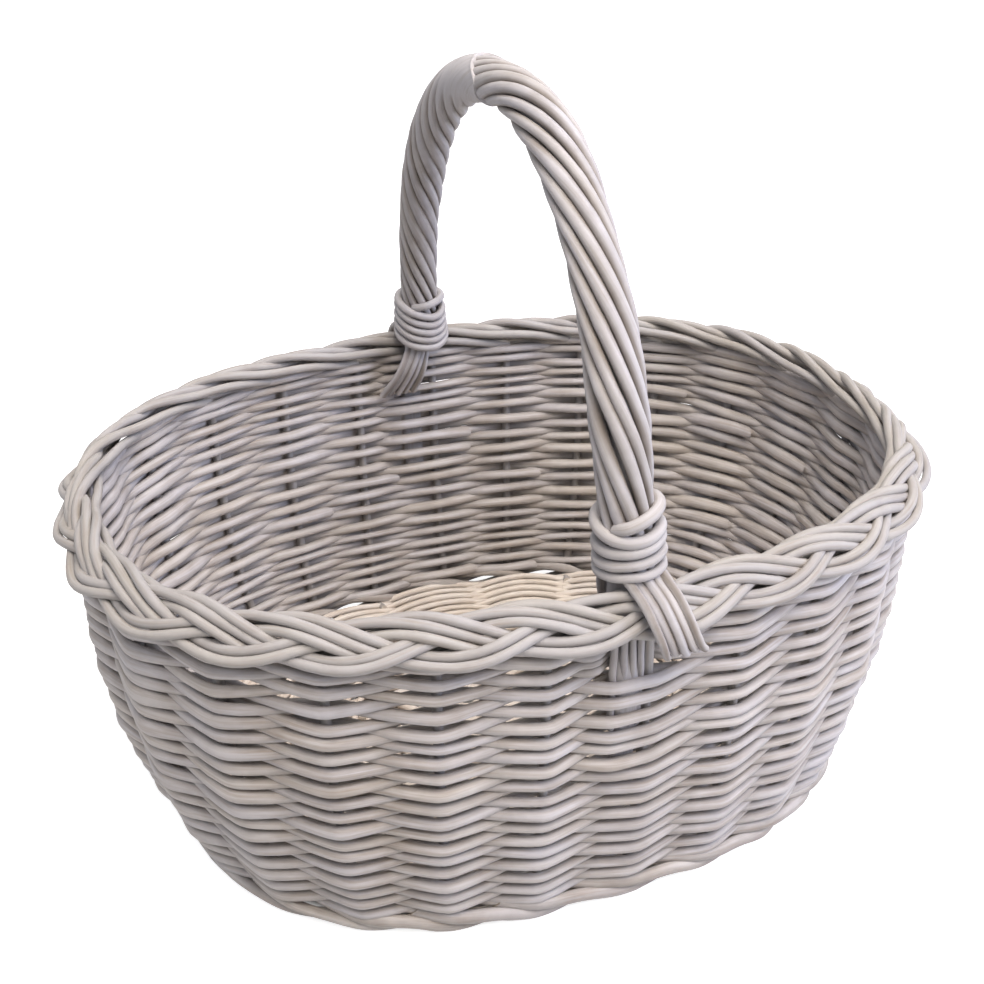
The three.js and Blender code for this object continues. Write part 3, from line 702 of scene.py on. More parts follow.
def loose_plait():
    """A stake runs in along the inner edge, then sweeps out in long strokes and back in short ones."""
    units = np.arange(int(PLAIT_UNITS * POINTS_PER_UNIT) + 1) / POINTS_PER_UNIT
    turn = math.tau * (units - RUN_IN) / WAVE_UNITS
    phase = turn - LAG * (1 - np.cos(turn))
    across = -SWING_ACROSS * np.cos(phase) + DRIFT_ACROSS * (turn / math.tau - STROKES / 4)
    over = SWING_OVER * np.sin(2 * phase)
    run = units < RUN_IN
    across[run] = np.interp(units[run], RUN_IN_PLACES, RUN_IN_ACROSS)
    over[run] = np.interp(units[run], RUN_IN_PLACES, RUN_IN_OVER)
    over = over - END_SINK * ramp(units, units[-1] - 1, units[-1])
    return units * UNIT, np.stack([across, over], axis=-1)


# %% Pushing the rods apart
ROUNDS = 300
COPIES = 8
STRENGTH = 1.8
STIFFNESS = 0.06
STIFF_ACROSS_AND_OVER = np.array([0.35, 1.0])
SQUEEZE = 0.25
NOT_SQUEEZED = 8


def neighbours(spots, reach):
    """Which spots of the path lie beside which spots of its copies, and how far along from them."""
    pairs = []
    for copy in range(1, COPIES + 1):
        gap = spots[:, None] - (spots[None, :] + copy * UNIT)
        a, b = np.nonzero(np.abs(gap) < reach)
        pairs.append(np.stack([a, b, gap[a, b]], axis=-1))
    pairs = np.vstack(pairs)
    return pairs[:, 0].astype(int), pairs[:, 1].astype(int), pairs[:, 2]


def tighten(along, path):
    """Pushes the path off the copies of itself that lie one, two and more stakes further on."""
    halves = np.zeros((2 * len(path) - 1, len(path)))
    for i in range(len(halves)):
        halves[i, i // 2] += 0.5
        halves[i, (i + 1) // 2] += 0.5
    reach = 2 * PLAIT_RADIUS
    first_points = path[:2].copy()
    a, b, gap = neighbours(halves @ along, reach)
    room = np.array([HALF_BAND - PLAIT_RADIUS, HALF_THICK - 0.75 * PLAIT_RADIUS])
    for i in range(ROUNDS):
        fade = 1 - i / ROUNDS
        at = halves @ path
        apart = at[a] - at[b]
        flat = np.hypot(apart[:, 0], apart[:, 1]) + 1e-6
        overlap = np.clip(reach - np.hypot(flat, gap), 0, None)
        push = (0.5 * overlap / flat)[:, None] * apart
        force = np.zeros_like(at)
        hits = np.zeros(len(at))
        np.add.at(force, a, push)
        np.add.at(force, b, -push)
        np.add.at(hits, a, overlap > 0)
        np.add.at(hits, b, overlap > 0)
        force /= np.maximum(hits, 1)[:, None]
        path = path + STRENGTH * (halves.T @ force) / halves.sum(0)[:, None]
        bend = np.zeros_like(path)
        bend[1:-1] = (path[2:] + path[:-2]) / 2 - path[1:-1]
        path = path + bend * STIFFNESS * fade * STIFF_ACROSS_AND_OVER
        outside = np.hypot(*(path / room).T)
        squeeze = np.clip(outside - 1, 0, None) / np.maximum(outside, 1)
        squeeze[:NOT_SQUEEZED] = 0
        path = path * (1 - SQUEEZE * fade * squeeze)[:, None]
        path[:2] = first_points
    for _ in range(2):
        path[1:-1] = 0.25 * path[:-2] + 0.5 * path[1:-1] + 0.25 * path[2:]
    at = halves @ path
    apart = at[a] - at[b]
    closest = np.sqrt((apart**2).sum(1) + gap**2).min()
    print(f"plait: rods' middles stay {closest:.2f} mm apart, {2 * PLAIT_RADIUS:.1f} mm is touching")
    return path


plait_along, plait_path = loose_plait()
plait_path = tighten(plait_along, plait_path)

# %% Laying the plait round the rim
TILT = math.radians(40)
BULGE = 4.0
BULGE_REACH = 30.0


def handle_bulge(distance):
    """The border runs further out where it passes the handle's feet."""
    return BULGE * sum(hump(wrapped(distance - place, rim_way.length), BULGE_REACH) for place in (NEAR, FAR))


def tilted(across, over):
    """How far out and up a point lies: across runs down the border's outer slope and over stands off it."""
    return across * math.cos(TILT) + over * math.sin(TILT), over * math.cos(TILT) - across * math.sin(TILT)


def on_border(distance, across, over):
    angle = rim_way.angle(distance)
    out, rise = tilted(across, over)
    out = out + handle_bulge(distance)
    point = oval_point(RIM, angle) + oval_normal(RIM, angle) * out[:, None]
    point[:, 2] = RIM_HEIGHT + rise
    return point


# %% The stakes
STAKE_RADIUS = 2.35
STAKE_HEIGHTS = np.array([BASE_EDGE, 22, 48, 75, 100, 125, 148, 160])
ROOT_LENGTH = 16


def stake(number):
    place = FIRST_STAKE + number * UNIT
    angle = rim_way.angle(place)
    upright = side_point(np.full(len(STAKE_HEIGHTS), angle), STAKE_HEIGHTS)
    root = upright[0] - oval_normal(side_oval(BASE_EDGE), angle) * ROOT_LENGTH
    root[2] = BASE_EDGE + 1.5
    spots = np.linspace(0, len(plait_path) - 1, 9)
    wobble = [np.interp(np.arange(len(plait_path)), spots, random.normal(0, 0.35, 9)) for _ in range(2)]
    across, over = (plait_path + np.stack(wobble, axis=-1) * ramp(plait_along, 0, 30)[:, None]).T
    plaited = on_border(place + plait_along, across, over)
    line = smooth_line(np.vstack([root, upright, plaited]), 2.5)
    radius = STAKE_RADIUS + (PLAIT_RADIUS - STAKE_RADIUS) * ramp(line[:, 2], 150, 165)
    return rod(line, radius * np.linspace(1.04, 0.94, len(line)), slant=random.uniform(0.3, 0.9))


give_piece("stakes_and_border", [stake(n) for n in range(STAKES)], border_willow,
           [f"stake_{i + 1:02d}" for i in range(STAKES)])

# %% [markdown]
# ## The siding
# Plain randing: every rod goes in front of one stake and behind the next, and because the stakes are
# an odd number, a row takes the other side from the row below it. A rod is two thirds of a lap to a whole
# one long: its thick butt starts inside, behind a stake, and its thin tip ends inside too. As the rods are
# bent round stakes as thick as themselves, each line is a wave whose height is the two radii together.

# %% Where a weaver is on its way round
BLADE_TIP = 90.0
BLADE_TOP = 147.0
FEET = ((0, -0.355), (12, 0.43))
ROW_PITCH = 4.3
FIRST_ROW = 15.0
ROWS = 37
ROW_TILT = 1.4
REAR_SPREAD = 4.6
WINDOW_PLACE = -0.17
WINDOW_REACH = 0.33
WINDOW_SILL = 143.0
WINDOW_DEPTH = 2.5
BUTT_REACH = 0.4
TIP_REACH = 0.35
BUTT_INWARD = 6.0
BUTT_RADIUS = (2.8, 3.4)
TIP_RADIUS = (2.2, 2.65)
PRESSED = 0.3
TOP_ROWS = 164
TOP_PACKING = 0.3
LEVEL_BELOW = (18, 28)
LEVEL_ABOVE = (170, 160)
FLATNESS = 0.99
REAR_FLATTER = 0.5
INSIDE_ROUNDER = 0.12
ENDS_FLATTER = 0.34
SHARPNESS = 0.98
SWELLS = ((3, 0.1256, 0.5, 0.4), (5, 0.19468, 0.45, 2.1), (8, 0.27004, 0.35, 4.0), (13, 0.3768, 0.25, 1.1))


def wave_place(place, z):
    """Counts stakes along a weaver. Where the handle's foot stands beside a stake, the count rests."""
    lap = np.floor(place / STAKES)
    p = place - lap * STAKES
    there = ramp(z, BLADE_TIP - 6, BLADE_TIP + 8)
    counted = p.copy()
    for stake_number, reach in FEET:
        for shift in (0, STAKES):
            post = stake_number + shift
            low, high = sorted((post, post + reach))
            before = (p > post - 1) & (p <= low)
            inside = (p > low) & (p < high)
            after = (p >= high) & (p < post + 1)
            rested = np.where(before, post - 1 + (p - post + 1) / (low - post + 1), p)
            rested = np.where(inside, post, rested)
            rested = np.where(after, post + (p - high) / (post + 1 - high), rested)
            near = before | inside | after
            counted = np.where(near, counted + there * (rested - counted), counted)
    return counted + lap * STAKES


def row_unevenness(angle, z):
    """Rows are never level: a slow swell that neighbouring rows share."""
    swell = 0.0
    for turns, rise, size, phase in SWELLS:
        swell = swell + size * np.sin(turns * angle + rise * z + phase)
    return swell


def rear_spread(angle, z):
    """Behind, the rods of the middle rows are thicker and lie further apart."""
    share = np.clip(np.sin(angle) * 1.5, 0, 1) ** 2
    return REAR_SPREAD * share * np.interp(z, [20, 60, 95, 130, 166], [0, -1, 0, 1, 0])


# %% The siding's rods
FOOT_REACH = 0.7
FOOT_INWARD = 4.0
FOOT_SPREAD = 0.4
FIRST_BUTT = -14
LAST_BUTT = ROWS * STAKES - 6
STAKE_PAIRS = (8, 14)


def round_the_feet(wave, z, swing):
    """Where a rod passes a foot of the handle, it keeps clear of the bow's flattened end."""
    inward = 0
    for stake_number, reach in FEET:
        gap = wrapped(wave - stake_number, STAKES)
        behind = (np.cos(math.pi * (wave - gap)) > 0) & (np.abs(gap) < FOOT_REACH)
        passed = behind & (z > BLADE_TOP + 5) & (z < BLADE_TOP + 13) & (reach < 0)
        swing = np.where(passed, np.abs(swing), swing)
        lean = ramp(z, BLADE_TOP - 3, BLADE_TOP + 5) * (z <= BLADE_TOP + 5)
        inward = inward + FOOT_INWARD * lean * behind * hump(gap, FOOT_SPREAD)
    return swing, inward


def siding_rod(start, stop):
    """One rod from behind the stake counted start to behind the stake counted stop."""
    first = start - BUTT_REACH
    last = stop + TIP_REACH
    place = np.arange(first, last, 1 / 16)
    z = np.maximum(FIRST_ROW + ROW_PITCH * place / STAKES, FIRST_ROW - 0.4)
    spots = np.arange(first - 1, last + 2, 1.0)
    own = np.interp(place, spots, random.normal(0, 0.3, len(spots)))
    angle = rim_way.angle(FIRST_STAKE + place * UNIT)
    fade = ramp(z, *LEVEL_BELOW) * ramp(z, *LEVEL_ABOVE)
    thicker = 1 + 0.1 * (rear_spread(angle, z + 4) - rear_spread(angle, z - 4))
    z = z + row_unevenness(angle, z) * fade + rear_spread(angle, z) + own
    z = z - TOP_PACKING * np.clip(z - TOP_ROWS, 0, 20)
    wave = wave_place(place, z)
    butt = random.uniform(*BUTT_RADIUS)
    tip = random.uniform(*TIP_RADIUS)
    radius = (butt + (tip - butt) * ramp(place, first, last)) * thicker
    reach = STAKE_RADIUS + radius - PRESSED
    swing = -np.arcsin(SHARPNESS * np.cos(math.pi * wave)) / math.asin(SHARPNESS)
    swing, inward = round_the_feet(wave, z, swing)
    z = z - ROW_TILT * ramp(z, 14, 24) * swing
    out = reach * swing - inward - BUTT_INWARD * ramp(place, start, start - 1)
    beside = wrapped(place - WINDOW_PLACE, STAKES)
    opened = np.exp(-((beside / WINDOW_REACH) ** 4)) * ramp(z, WINDOW_SILL, WINDOW_SILL + 2)
    out = out + (-reach - WINDOW_DEPTH - out) * opened
    rear_half = ramp(np.sin(angle), -0.6, -0.1)
    at_ends = np.clip(2.2 * np.abs(np.cos(angle)) - 1, 0, 1)
    flat = FLATNESS + REAR_FLATTER * rear_half * np.clip(swing, 0, 1)
    flat = flat - INSIDE_ROUNDER * (1 - at_ends) * np.clip(-swing, 0, 1)
    flat = flat + ENDS_FLATTER * at_ends * np.abs(swing)
    # Painted shade where the rod crosses its neighbours between the stakes, less where it bends round a
    # stake.
    shelter = np.clip(0.5 - 0.9 * np.abs(swing), 0, 1)
    line = on_side(angle, z, out)
    return rod(line, radius, outs=side_normal(angle, z), flat=flat, slant=0.9, deep=shelter, groove=0.5)


def siding_rods():
    """Rods of different lengths, each beginning where the one before it ends."""
    rods = []
    start = FIRST_BUTT
    while start < LAST_BUTT:
        stop = min(start + 2 * int(random.integers(*STAKE_PAIRS)), ROWS * STAKES)
        rods.append(siding_rod(start, stop))
        start = stop
    return rods


give_piece("siding", siding_rods(), side_willow, ["siding_weaver"])

# %% [markdown]
# ## The handle's bow
# A stout rod carries the basket. Its two ends are shaved flat and driven down beside a stake. The kind
# of curve that shapes the rim, stood upright, gives its arch too.

# %% The arch
SPRING = 171.0
RISE = 192.4
HALF_SPAN = 147.0
ARCH_SQUARE = 2.24
ARCH_SAMPLES = 2001
FOOT_HEIGHT = 193.5
spring_angle = math.asin(((FOOT_HEIGHT - SPRING) / RISE) ** (ARCH_SQUARE / 2))
sweep = np.linspace(spring_angle, math.pi - spring_angle, ARCH_SAMPLES)
arch_line = np.stack([
    np.zeros_like(sweep),
    -HALF_SPAN * signed_power(np.cos(sweep), 2 / ARCH_SQUARE),
    SPRING + RISE * signed_power(np.sin(sweep), 2 / ARCH_SQUARE),
], axis=-1)
arch_at = lengths_along(arch_line)
ARCH_LENGTH = arch_at[-1]
print(f"handle's arch: {ARCH_LENGTH:.0f} mm along the bow")
LEAN_AT = [0, 0.05, 0.15, 0.3, 0.45, 0.55, 0.7, 0.85, 0.92, 1]
LEAN = [2.6, 1.8, 1.0, 1.8, 3.0, 2.4, 0.8, 1.5, 2.6, 4.8]


def arch_point(share):
    """Points of the bow's middle; a bent rod is never quite straight seen from its end."""
    share = np.asarray(share, float)
    point = np.stack([np.interp(share * ARCH_LENGTH, arch_at, arch_line[:, i]) for i in range(3)], axis=-1)
    point[..., 0] += np.interp(share, LEAN_AT, LEAN)
    return point


def facing_from_arch(share, angle):
    """The direction away from the bow's middle, at an angle counted from the arch's outer side."""
    along = unit_vectors(arch_point(share + 0.001) - arch_point(share - 0.001))
    out = unit_vectors(np.cross([1.0, 0.0, 0.0], along))
    return out * np.cos(angle)[..., None] + [1.0, 0.0, 0.0] * np.sin(angle)[..., None]


# %% The bow with its flattened ends
BORDER_HALF_WIDTH = 15.5
BORDER_HALF_THICK = 7.2
BORDER_INNER = math.hypot(BORDER_HALF_WIDTH * math.cos(TILT), BORDER_HALF_THICK * math.sin(TILT))
BORDER_TOP = math.hypot(BORDER_HALF_WIDTH * math.sin(TILT), BORDER_HALF_THICK * math.cos(TILT))
INNER_FACE = RIM[1] + BULGE - BORDER_INNER


def wall_y(z):
    return side_point(np.array(math.pi / 2), np.array(z))[1]


bow_foot = np.array([
    [wall_y(BLADE_TIP), BLADE_TIP],
    [wall_y(BLADE_TOP), BLADE_TOP],
    [INNER_FACE - 4.9, RIM_HEIGHT - 6],
    [INNER_FACE - 5.5, RIM_HEIGHT + BORDER_TOP],
])
BOW_HEIGHTS = [BLADE_TIP, BLADE_TOP, 170, 187, 200]
BOW_THICK = [1.3, 2.1, 4.6, 5.2, 6.0]
BOW_HALF_WIDTH = 6.0


def bow():
    arch = arch_point(np.linspace(0.02, 0.98, 60))
    near = [[0, -y, z] for y, z in bow_foot]
    far = [[0, y, z] for y, z in bow_foot[::-1]]
    line = smooth_line(np.vstack([near, arch, far]), 4.0)
    thick = np.interp(line[:, 2], BOW_HEIGHTS, BOW_THICK)
    along = unit_vectors(np.gradient(line, axis=0))
    outs = np.cross([1.0, 0.0, 0.0], along)
    return rod(line, thick, outs=outs, flat=BOW_HALF_WIDTH / thick, rough=0.01)


give_piece("handle_bow_rod", [bow()], handle_willow, ["handle_bow"])

# %% [markdown]
# ## The roping
# Ten rods lie side by side round the bow and twist to the left as they climb. Half of them come from the
# outside of the border and half from the inside, where their ends were pushed down along the bow.
# The twist is steeper on the far side than on the near one.

# %% Twist along the arch
ROPE_RODS = 10
NEAR_TURNS = 1.25
FAR_TURNS = 1.75
GIRTH_AT = [0, 0.04, 0.12, 0.2, 0.3, 0.4, 0.46, 0.52, 0.6, 0.68, 0.8, 1.0]
GIRTH = [11.4, 12.2, 13.2, 12.5, 12.1, 12.2, 11.5, 10.7, 11.4, 12.2, 12.0, 10.4]
ROD_AT = [-0.2, 0, 0.12, 0.3, 0.45, 0.55, 1, 1.2]
ROD = [1.75, 2.45, 2.95, 2.75, 2.55, 2.25, 2.0, 2.1]
FLAT_AT = [0, 0.45, 0.6, 0.85, 1, 1.02]
FLAT = [1.0, 1.05, 1.5, 1.5, 1.15, 1.0]
LOOSE_AT = 0.13
LOOSE_RODS = {1: -0.11, 2: 0.13}
TWIST_SOFTNESS = 0.03


def twist(share):
    """Turns made from the near foot to a share of the arch, with a soft change at the top."""
    share = np.asarray(share, float)
    at = np.linspace(0, 1, 401)
    rate = NEAR_TURNS + (FAR_TURNS - NEAR_TURNS) / (1 + np.exp((0.5 - at) / TWIST_SOFTNESS))
    turns = np.concatenate([[0.0], np.cumsum(rate[1:] + rate[:-1])])
    return np.interp(share, at, turns * (NEAR_TURNS + FAR_TURNS) / turns[-1])


# %% The rods' feet
OVER_DEGREES = [126, 96, 64, 36, 10, -6]
OVER_STAGGER = np.array([0, 0, 0, 0, 2.7, 4.5])
OVER_CLEAR = (2.6, 1.4)
INSIDE_RAISED = (0.8, -0.8)


def foot_over(mirror, slot):
    """From the handle's outer face over the border to a blunt end at its outer edge. Places are counted
    in degrees round the border's section; slot says how far the rod lies from the foot's middle."""
    clear = OVER_CLEAR[round(slot) % 2]
    around = np.radians(OVER_DEGREES - mirror * slot * OVER_STAGGER)
    across = (HALF_BAND + clear) * np.cos(around)
    over = (BORDER_HALF_THICK + clear) * np.sin(around)
    out, rise = tilted(across, over)
    share = np.linspace(0, 1, len(around))
    aside, pitch = (6.5 + 10.5 * share, 4.1) if mirror < 0 else (-1.5 * share, 3.3)
    x = slot * pitch - mirror * aside
    return np.stack([x, mirror * (RIM[1] + BULGE + out), RIM_HEIGHT + rise], axis=-1)


def foot_inside(mirror, slot):
    """Inside the border, down the bow's inner face to a blunt end over the siding."""
    y = np.array([HALF_SPAN - 8.4 * math.cos(0.5 * slot), bow_foot[2][0] - 8.2, wall_y(BLADE_TOP) - 9.7])
    z = np.array([bow_foot[3][1] - 4, bow_foot[2][1] - 2, BLADE_TOP + 3])
    share = (FOOT_HEIGHT - z) / (FOOT_HEIGHT - z[-1])
    raised = INSIDE_RAISED[round(slot) % 2]
    x = slot * (2.2 + 2.5 * share) + mirror * (5.5 - 17.0 * share)
    return np.stack([x, mirror * (y - raised * share), z], axis=-1)


def rope_foot(mirror, angle):
    step = math.tau / ROPE_RODS
    turned = math.atan2(math.sin(angle), math.cos(angle))
    if math.cos(turned) > 0:
        return foot_over(mirror, turned / step)
    from_middle = math.atan2(-math.sin(turned), -math.cos(turned))
    return foot_inside(mirror, -from_middle / step)


# %% The rods of the roping
SHARES_NEAR_FOOT = (-0.2, 0)
SHARES_FAR_FOOT = (1, 1.2)


def rope_angle(number, share):
    """Where a rod lies round the bow. Low on the near side two rods stand apart and show the bow."""
    start = math.tau * number / ROPE_RODS
    apart = LOOSE_RODS.get(number, 0.0) * hump(share - LOOSE_AT, 0.06)
    return start - math.tau * twist(share) + apart


def rope_rod(number):
    """A place along the line, its outward direction and its share of the arch are smoothed together."""
    share = np.linspace(0.012, 0.988, 90)
    facing = facing_from_arch(share, rope_angle(number, share))
    ring = np.interp(share, GIRTH_AT, GIRTH) - np.interp(share, ROD_AT, ROD)
    ring = ring + np.interp(share, np.linspace(0, 1, 14), random.normal(0, 0.2, 14))
    middle = arch_point(share) + facing * ring[:, None]
    start = math.tau * number / ROPE_RODS
    near = rope_foot(-1, start)[::-1]
    far = rope_foot(1, start - math.tau * (NEAR_TURNS + FAR_TURNS))
    line = np.vstack([near, middle, far])
    outs = np.vstack([np.tile(facing[0], (len(near), 1)), facing, np.tile(facing[-1], (len(far), 1))])
    shares = np.concatenate([np.linspace(*SHARES_NEAR_FOOT, len(near)), share,
                             np.linspace(*SHARES_FAR_FOOT, len(far))])
    small = 1e-4
    fine = smooth_line(np.hstack([line, outs * small, shares[:, None] * small]), 2.5)
    points, outs, shares = fine[:, :3], fine[:, 3:6] / small, fine[:, 6] / small
    radius = np.interp(shares, ROD_AT, ROD) * random.uniform(0.86, 1.08)
    flat = np.interp(shares, FLAT_AT, FLAT)
    slant = random.uniform(0.1, 0.5)
    return rod(points, radius, outs=outs, flat=flat, slant=slant, cut=(0.4, 0.4), deep=0.13, groove=1.0)


rope_rods = [rope_rod(n) for n in range(ROPE_RODS)]

# %% The join near the top
JOIN = (0.535, 0.93)
JOIN_SIDES = 120
PAINT = 1.12
GROOVE_WIDTH = 1.3
GROOVE_DEPTH = 2.5
GROOVES_OPEN = (0.585, 0.645)
SINKS = (0.62, 0.74)
SINK = 0.75
ENDS = (0.87, JOIN[1])
END_DROP = 3.0
LIP = (0.034, 0.002)


def slits_between(place, around, girth):
    """One in the grooves between two rods of the roping, nought on their crowns."""
    radius = np.interp(place, ROD_AT, ROD) * PAINT
    ring = girth - radius / PAINT
    gap = np.full(place.shape, math.pi)
    for number in range(ROPE_RODS):
        gap = np.minimum(gap, np.abs(wrapped(around - rope_angle(number, place), math.tau)))
    reach = np.clip(radius**2 - (ring * np.sin(gap)) ** 2, 0, None)
    outline = ring * np.cos(gap) + np.sqrt(reach) / PAINT
    return ramp(girth - outline, 0, GROOVE_WIDTH) ** 3


def join_sleeve():
    """Where the rods of the far side begin, thick paint fills their grooves behind a thin lip. Its columns
    follow the rods, so that the grooves that open in it stay sharp."""
    share = np.concatenate([[JOIN[0], JOIN[0], JOIN[0] + 0.001], np.linspace(JOIN[0] + 0.003, JOIN[1], 110)])
    lane = np.linspace(0, math.tau, JOIN_SIDES, endpoint=False)
    around = lane[None, :] + rope_angle(0, share)[:, None]
    edge = lane + rope_angle(0, JOIN[0])
    lip = LIP[0] * np.clip(np.cos(edge), 0, 1) ** 2 - 0.012 + LIP[1] * np.sin(5 * edge)
    place = share[:, None] + lip[None, :]
    girth = np.interp(place, GIRTH_AT, GIRTH)
    slit = slits_between(place, around, girth)
    grooves = np.maximum(ramp(share, *GROOVES_OPEN), 0.03)[:, None]
    sunk = ramp(share, *SINKS)[:, None]
    ending = ramp(share, *ENDS)[:, None] ** 2
    filled = girth + 0.2 - GROOVE_DEPTH * slit * grooves - SINK * sunk - END_DROP * ending
    filled[2] += 0.5
    filled[1] += 0.35
    filled[0] = girth[0] - 2.2
    vertices = arch_point(place) + facing_from_arch(place, around) * filled[..., None]
    space = np.stack([place * ARCH_LENGTH, girth * np.cos(lane), girth * np.sin(lane)], axis=-1)
    count = place.size
    return {
        "vertices": vertices.reshape(-1, 3),
        "quads": ring_quads(len(share), JOIN_SIDES)[:, [0, 3, 2, 1]],
        "triangles": np.zeros((0, 3), int),
        "rod_space": space.reshape(-1, 3),
        "rod_tone": np.full(count, 0.4),
        "rod_sawn": np.zeros(count),
        "rod_pith": np.zeros(count),
        # Painted shade in the slits that open between the rods.
        "rod_shade_mask": (1.9 * slit * grooves - 0.12).ravel(),
    }


# %% Ends beside the bow
PUSHED_X = (-7.2, -2.6, 1.6, 5.6)
PUSHED_Z = np.linspace(114, 168, 8)
PUSHED_RADIUS = (1.55, 1.85)


def pushed_end(x):
    """A thin rod pushed down beside the near foot; it shows where the siding leaves it open."""
    y = -np.array([wall_y(z) for z in PUSHED_Z]) - 1.6 + random.normal(0, 0.15, len(PUSHED_Z))
    line = np.stack([x + random.normal(0, 0.2, len(PUSHED_Z)), y, PUSHED_Z], axis=-1)
    return rod(smooth_line(line, 3.0), random.uniform(*PUSHED_RADIUS), cut=(0.4, 0.4), deep=0.25)


pushed_ends = [pushed_end(x) for x in PUSHED_X]
give_piece("handle_roping", [*rope_rods, *pushed_ends, join_sleeve()], handle_willow,
           [f"handle_rod_{i + 1:02d}" for i in range(ROPE_RODS)])

# %% [markdown]
# ## The bindings
# A rod is wound round each foot of the handle to hold the roping together. It starts with a short end
# that crosses upward to the right, goes round behind and comes back lower with every turn. The turns
# sag where they face the viewer, most of all on the far foot, and so each quarter turn has its own height.

# %% Wound rods
FACING = math.radians(20)
TUCK = 2.6
TUCK_REACH = 0.05
BOUND_HEIGHT = 30
NEAR_HEIGHTS = [
    (-0.09, 20.0), (0.0, 23.0), (0.12, 26.4), (0.25, 27.6), (0.5, 24.0), (0.75, 19.6),
    (0.93, 16.6), (1.0, 16.2), (1.25, 18.0), (1.5, 14.0), (1.75, 9.6),
    (2.0, 11.4), (2.25, 13.6), (2.5, 8.0), (2.75, 2.6),
    (3.0, 5.8), (3.25, 7.0), (3.5, 2.8), (3.75, -2.4),
    (4.0, 0.0), (4.25, 0.2), (4.45, -1.5),
]
FAR_HEIGHTS = [
    (-0.05, 24.5), (0.08, 27.0), (0.25, 28.6), (0.5, 29.0), (0.75, 28.2),
    (1.0, 21.0), (1.1, 18.8), (1.25, 21.0), (1.5, 24.5), (1.75, 24.5),
    (2.0, 15.6), (2.1, 13.8), (2.25, 16.4), (2.5, 19.5), (2.75, 18.8),
    (3.0, 10.6), (3.1, 9.2), (3.25, 12.0), (3.5, 15.2), (3.75, 13.4),
    (4.0, 5.8), (4.1, 4.8), (4.25, 7.8), (4.5, 10.8), (4.75, 7.6),
    (5.0, 1.0), (5.1, 0.4), (5.25, 4.0), (5.45, 7.5),
]


def arch_y(z):
    half = arch_line[:ARCH_SAMPLES // 2 + 1]
    return np.interp(z, half[:, 2], half[:, 1])


def binding(mirror, heights, low, rings, shift, radii):
    """A wound rod. Turns are counted from the side that faces the viewer, to the right and down."""
    turns, rises = np.array(heights).T
    turn = np.arange(turns[0], turns[-1], 1 / 36)
    rise = eased(turns, rises, np.gradient(rises, turns), turn)
    tucked = TUCK * hump(turn - turns[0], TUCK_REACH)
    angle = math.tau * turn - FACING
    z = low + rise
    lowered = ramp(rise, BOUND_HEIGHT, 0)
    away = rings[0] + (rings[1] - rings[0]) * lowered - tucked + random.normal(0, 0.08, len(turn))
    x = away * np.sin(angle) + shift[0] + (shift[1] - shift[0]) * lowered
    y = mirror * np.abs(arch_y(np.maximum(z, FOOT_HEIGHT))) - away * np.cos(angle)
    fine = smooth_line(np.stack([x, y, z], axis=-1), 2.0)
    return rod(fine, np.linspace(*radii, len(fine)), slant=0.4, cut=(0.4, 0.4))


near_binding = binding(-1, NEAR_HEIGHTS, low=193.4, rings=(13.7, 14.2), shift=(2.2, 3.7), radii=(2.9, 2.1))
far_binding = binding(1, FAR_HEIGHTS, low=182.4, rings=(12.4, 14.8), shift=(3.6, 4.8), radii=(2.3, 2.0))
give_piece("handle_binding_near_foot", [near_binding], handle_willow, ["handle_binding_near"])
give_piece("handle_binding_far_foot", [far_binding], handle_willow, ["handle_binding_far"])

# %% [markdown]
# ## Floor, light and camera
# The real basket stood in a room, with warm light from above and a cool window to the right. Four large
# soft lamps and a dim world give the same shading from side to side. The floor and the background glow
# only where the camera sees them, so they turn white without lighting the basket. Under the basket the
# floor's glow is cut off, a painted shadow that keeps the gaps of the weave dark there.

# %% The floor
FLOOR_SIZE = 6.0
FLOOR_DROP = 0.0004
FLOOR_GLOW = 0.85


def where_seen(tree):
    """One where the camera or a mirror image sees a surface, nought where it would light the basket."""
    paths = tree.nodes.new("ShaderNodeLightPath")
    return add_math(tree, "MAXIMUM", paths.outputs["Is Camera Ray"], paths.outputs["Is Glossy Ray"])


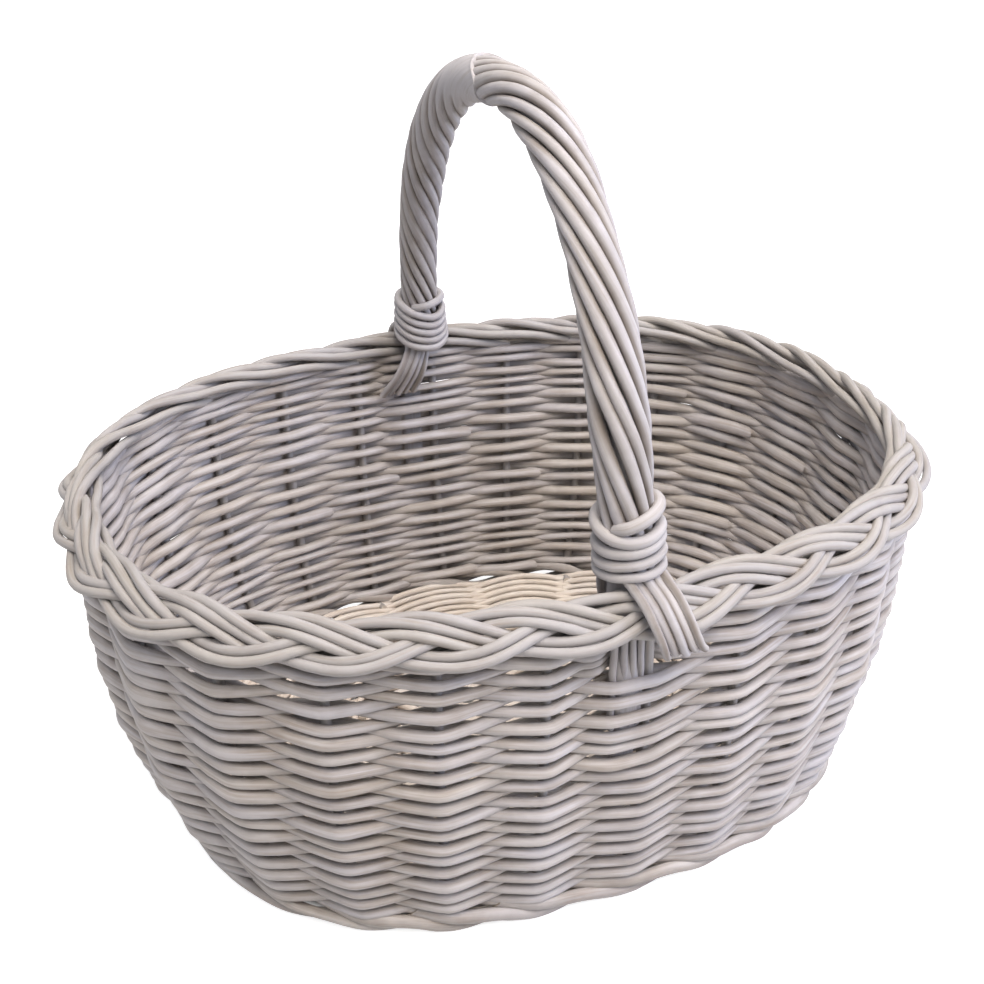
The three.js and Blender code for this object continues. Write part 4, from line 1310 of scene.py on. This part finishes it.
def make_floor():
    material = bpy.data.materials.new("studio floor")
    material.use_nodes = True
    tree = material.node_tree
    shader = tree.nodes["Principled BSDF"]
    place = tree.nodes.new("ShaderNodeTexCoord")
    mottle = add_noise(tree, place.outputs["Object"], scale=3.0, detail=2.0)
    colour = colour_mix(tree, mottle, (0.54, 0.54, 0.54), (0.57, 0.57, 0.57))
    tree.links.new(colour, shader.inputs["Base Color"])
    shader.inputs["Roughness"].default_value = 0.9
    shader.inputs["Emission Color"].default_value = (1, 1, 1, 1)
    axes = tree.nodes.new("ShaderNodeSeparateXYZ")
    tree.links.new(place.outputs["Object"], axes.inputs["Vector"])
    parts = []
    for axis, half in (("X", BASE[0]), ("Y", BASE[1])):
        share = add_math(tree, "ABSOLUTE", add_math(tree, "DIVIDE", axes.outputs[axis], half * METRE))
        parts.append(add_math(tree, "POWER", share, float(BASE[2])))
    oval = add_math(tree, "POWER", add_math(tree, "ADD", *parts), 1 / float(BASE[2]))
    # Painted shadow: the glow stops under the basket's footprint, so the floor seen through the weave stays
    # dark.
    outside_painted_shadow = map_range(tree, oval, 0.97, 1.04)
    glow = add_math(tree, "MULTIPLY", where_seen(tree), outside_painted_shadow)
    tree.links.new(add_math(tree, "MULTIPLY", glow, FLOOR_GLOW), shader.inputs["Emission Strength"])
    mesh = bpy.data.meshes.new("studio_floor")
    corners = [(x * FLOOR_SIZE, y * FLOOR_SIZE, 0) for x, y in ((-1, -1), (1, -1), (1, 1), (-1, 1))]
    mesh.from_pydata(corners, [], [(0, 1, 2, 3)])
    mesh.materials.append(material)
    floor = bpy.data.objects.new("studio_floor", mesh)
    floor.location.z = -FLOOR_DROP
    bpy.context.scene.collection.objects.link(floor)


make_floor()


# %% The lamps and the world
MIDDLE = (0, 0, 0.12)
WORLD_LIGHT = 0.27


def add_lamp(name, place, target, size, power, colour):
    data = bpy.data.lights.new(name, "AREA")
    data.shape = "DISK"
    data.size = size
    data.energy = power
    data.color = colour
    lamp = bpy.data.objects.new(name, data)
    lamp.location = place
    direction = Vector(target) - Vector(place)
    lamp.rotation_euler = direction.to_track_quat("-Z", "Y").to_euler()
    bpy.context.scene.collection.objects.link(lamp)


add_lamp("soft top light", (0.05, -0.1, 1.9), MIDDLE, 1.2, 19.0, (1.0, 0.95, 0.93))
add_lamp("warm room light", (0.05, -0.9, 1.75), MIDDLE, 1.2, 29.0, (1.0, 0.90, 0.80))
add_lamp("cool window", (1.4, -0.85, 0.85), (-0.1, 0.05, 0.15), 1.0, 23.5, (0.73, 0.78, 1.0))
add_lamp("second window", (-1.5, -0.2, 1.3), MIDDLE, 1.0, 4.5, (0.80, 0.83, 1.0))
world = bpy.data.worlds.new("pale room")
world.use_nodes = True
bpy.context.scene.world = world
tree = world.node_tree
background = tree.nodes["Background"]
background.inputs["Color"].default_value = (0.98, 0.98, 1.0, 1)
background.inputs["Strength"].default_value = WORLD_LIGHT
seen = tree.nodes.new("ShaderNodeBackground")
seen.inputs["Color"].default_value = (1, 1, 1, 1)
mixer = tree.nodes.new("ShaderNodeMixShader")
for socket, output in zip(mixer.inputs, (where_seen(tree), background.outputs[0], seen.outputs[0])):
    tree.links.new(output, socket)
tree.links.new(mixer.outputs[0], tree.nodes["World Output"].inputs["Surface"])
bpy.context.scene.view_settings.view_transform = "Standard"

# %% The camera, at the photograph's angle
AZIMUTH = math.radians(-20.3)
ELEVATION = math.radians(28.6)
ROLL = math.radians(-0.34)
DISTANCE = 0.740
IMAGE = 984
FOCAL_PIXELS = 1404
SENSOR = 36
target = Vector((-0.0041, 0.0017, 0.1530))
back = Vector((
    math.sin(AZIMUTH) * math.cos(ELEVATION),
    -math.cos(AZIMUTH) * math.cos(ELEVATION),
    math.sin(ELEVATION),
))
right = Vector((math.cos(AZIMUTH), math.sin(AZIMUTH), 0))
up = back.cross(right)
turned_right = right * math.cos(ROLL) + up * math.sin(ROLL)
turned_up = up * math.cos(ROLL) - right * math.sin(ROLL)
camera_data = bpy.data.cameras.new("camera")
camera_data.sensor_width = SENSOR
camera_data.lens = FOCAL_PIXELS / IMAGE * SENSOR
camera = bpy.data.objects.new("camera", camera_data)
turned = Matrix((turned_right, turned_up, back)).transposed().to_4x4()
camera.matrix_world = Matrix.Translation(target + back * DISTANCE) @ turned
bpy.context.scene.collection.objects.link(camera)
bpy.context.scene.camera = camera
print(f"camera lens {camera_data.lens:.1f} mm")
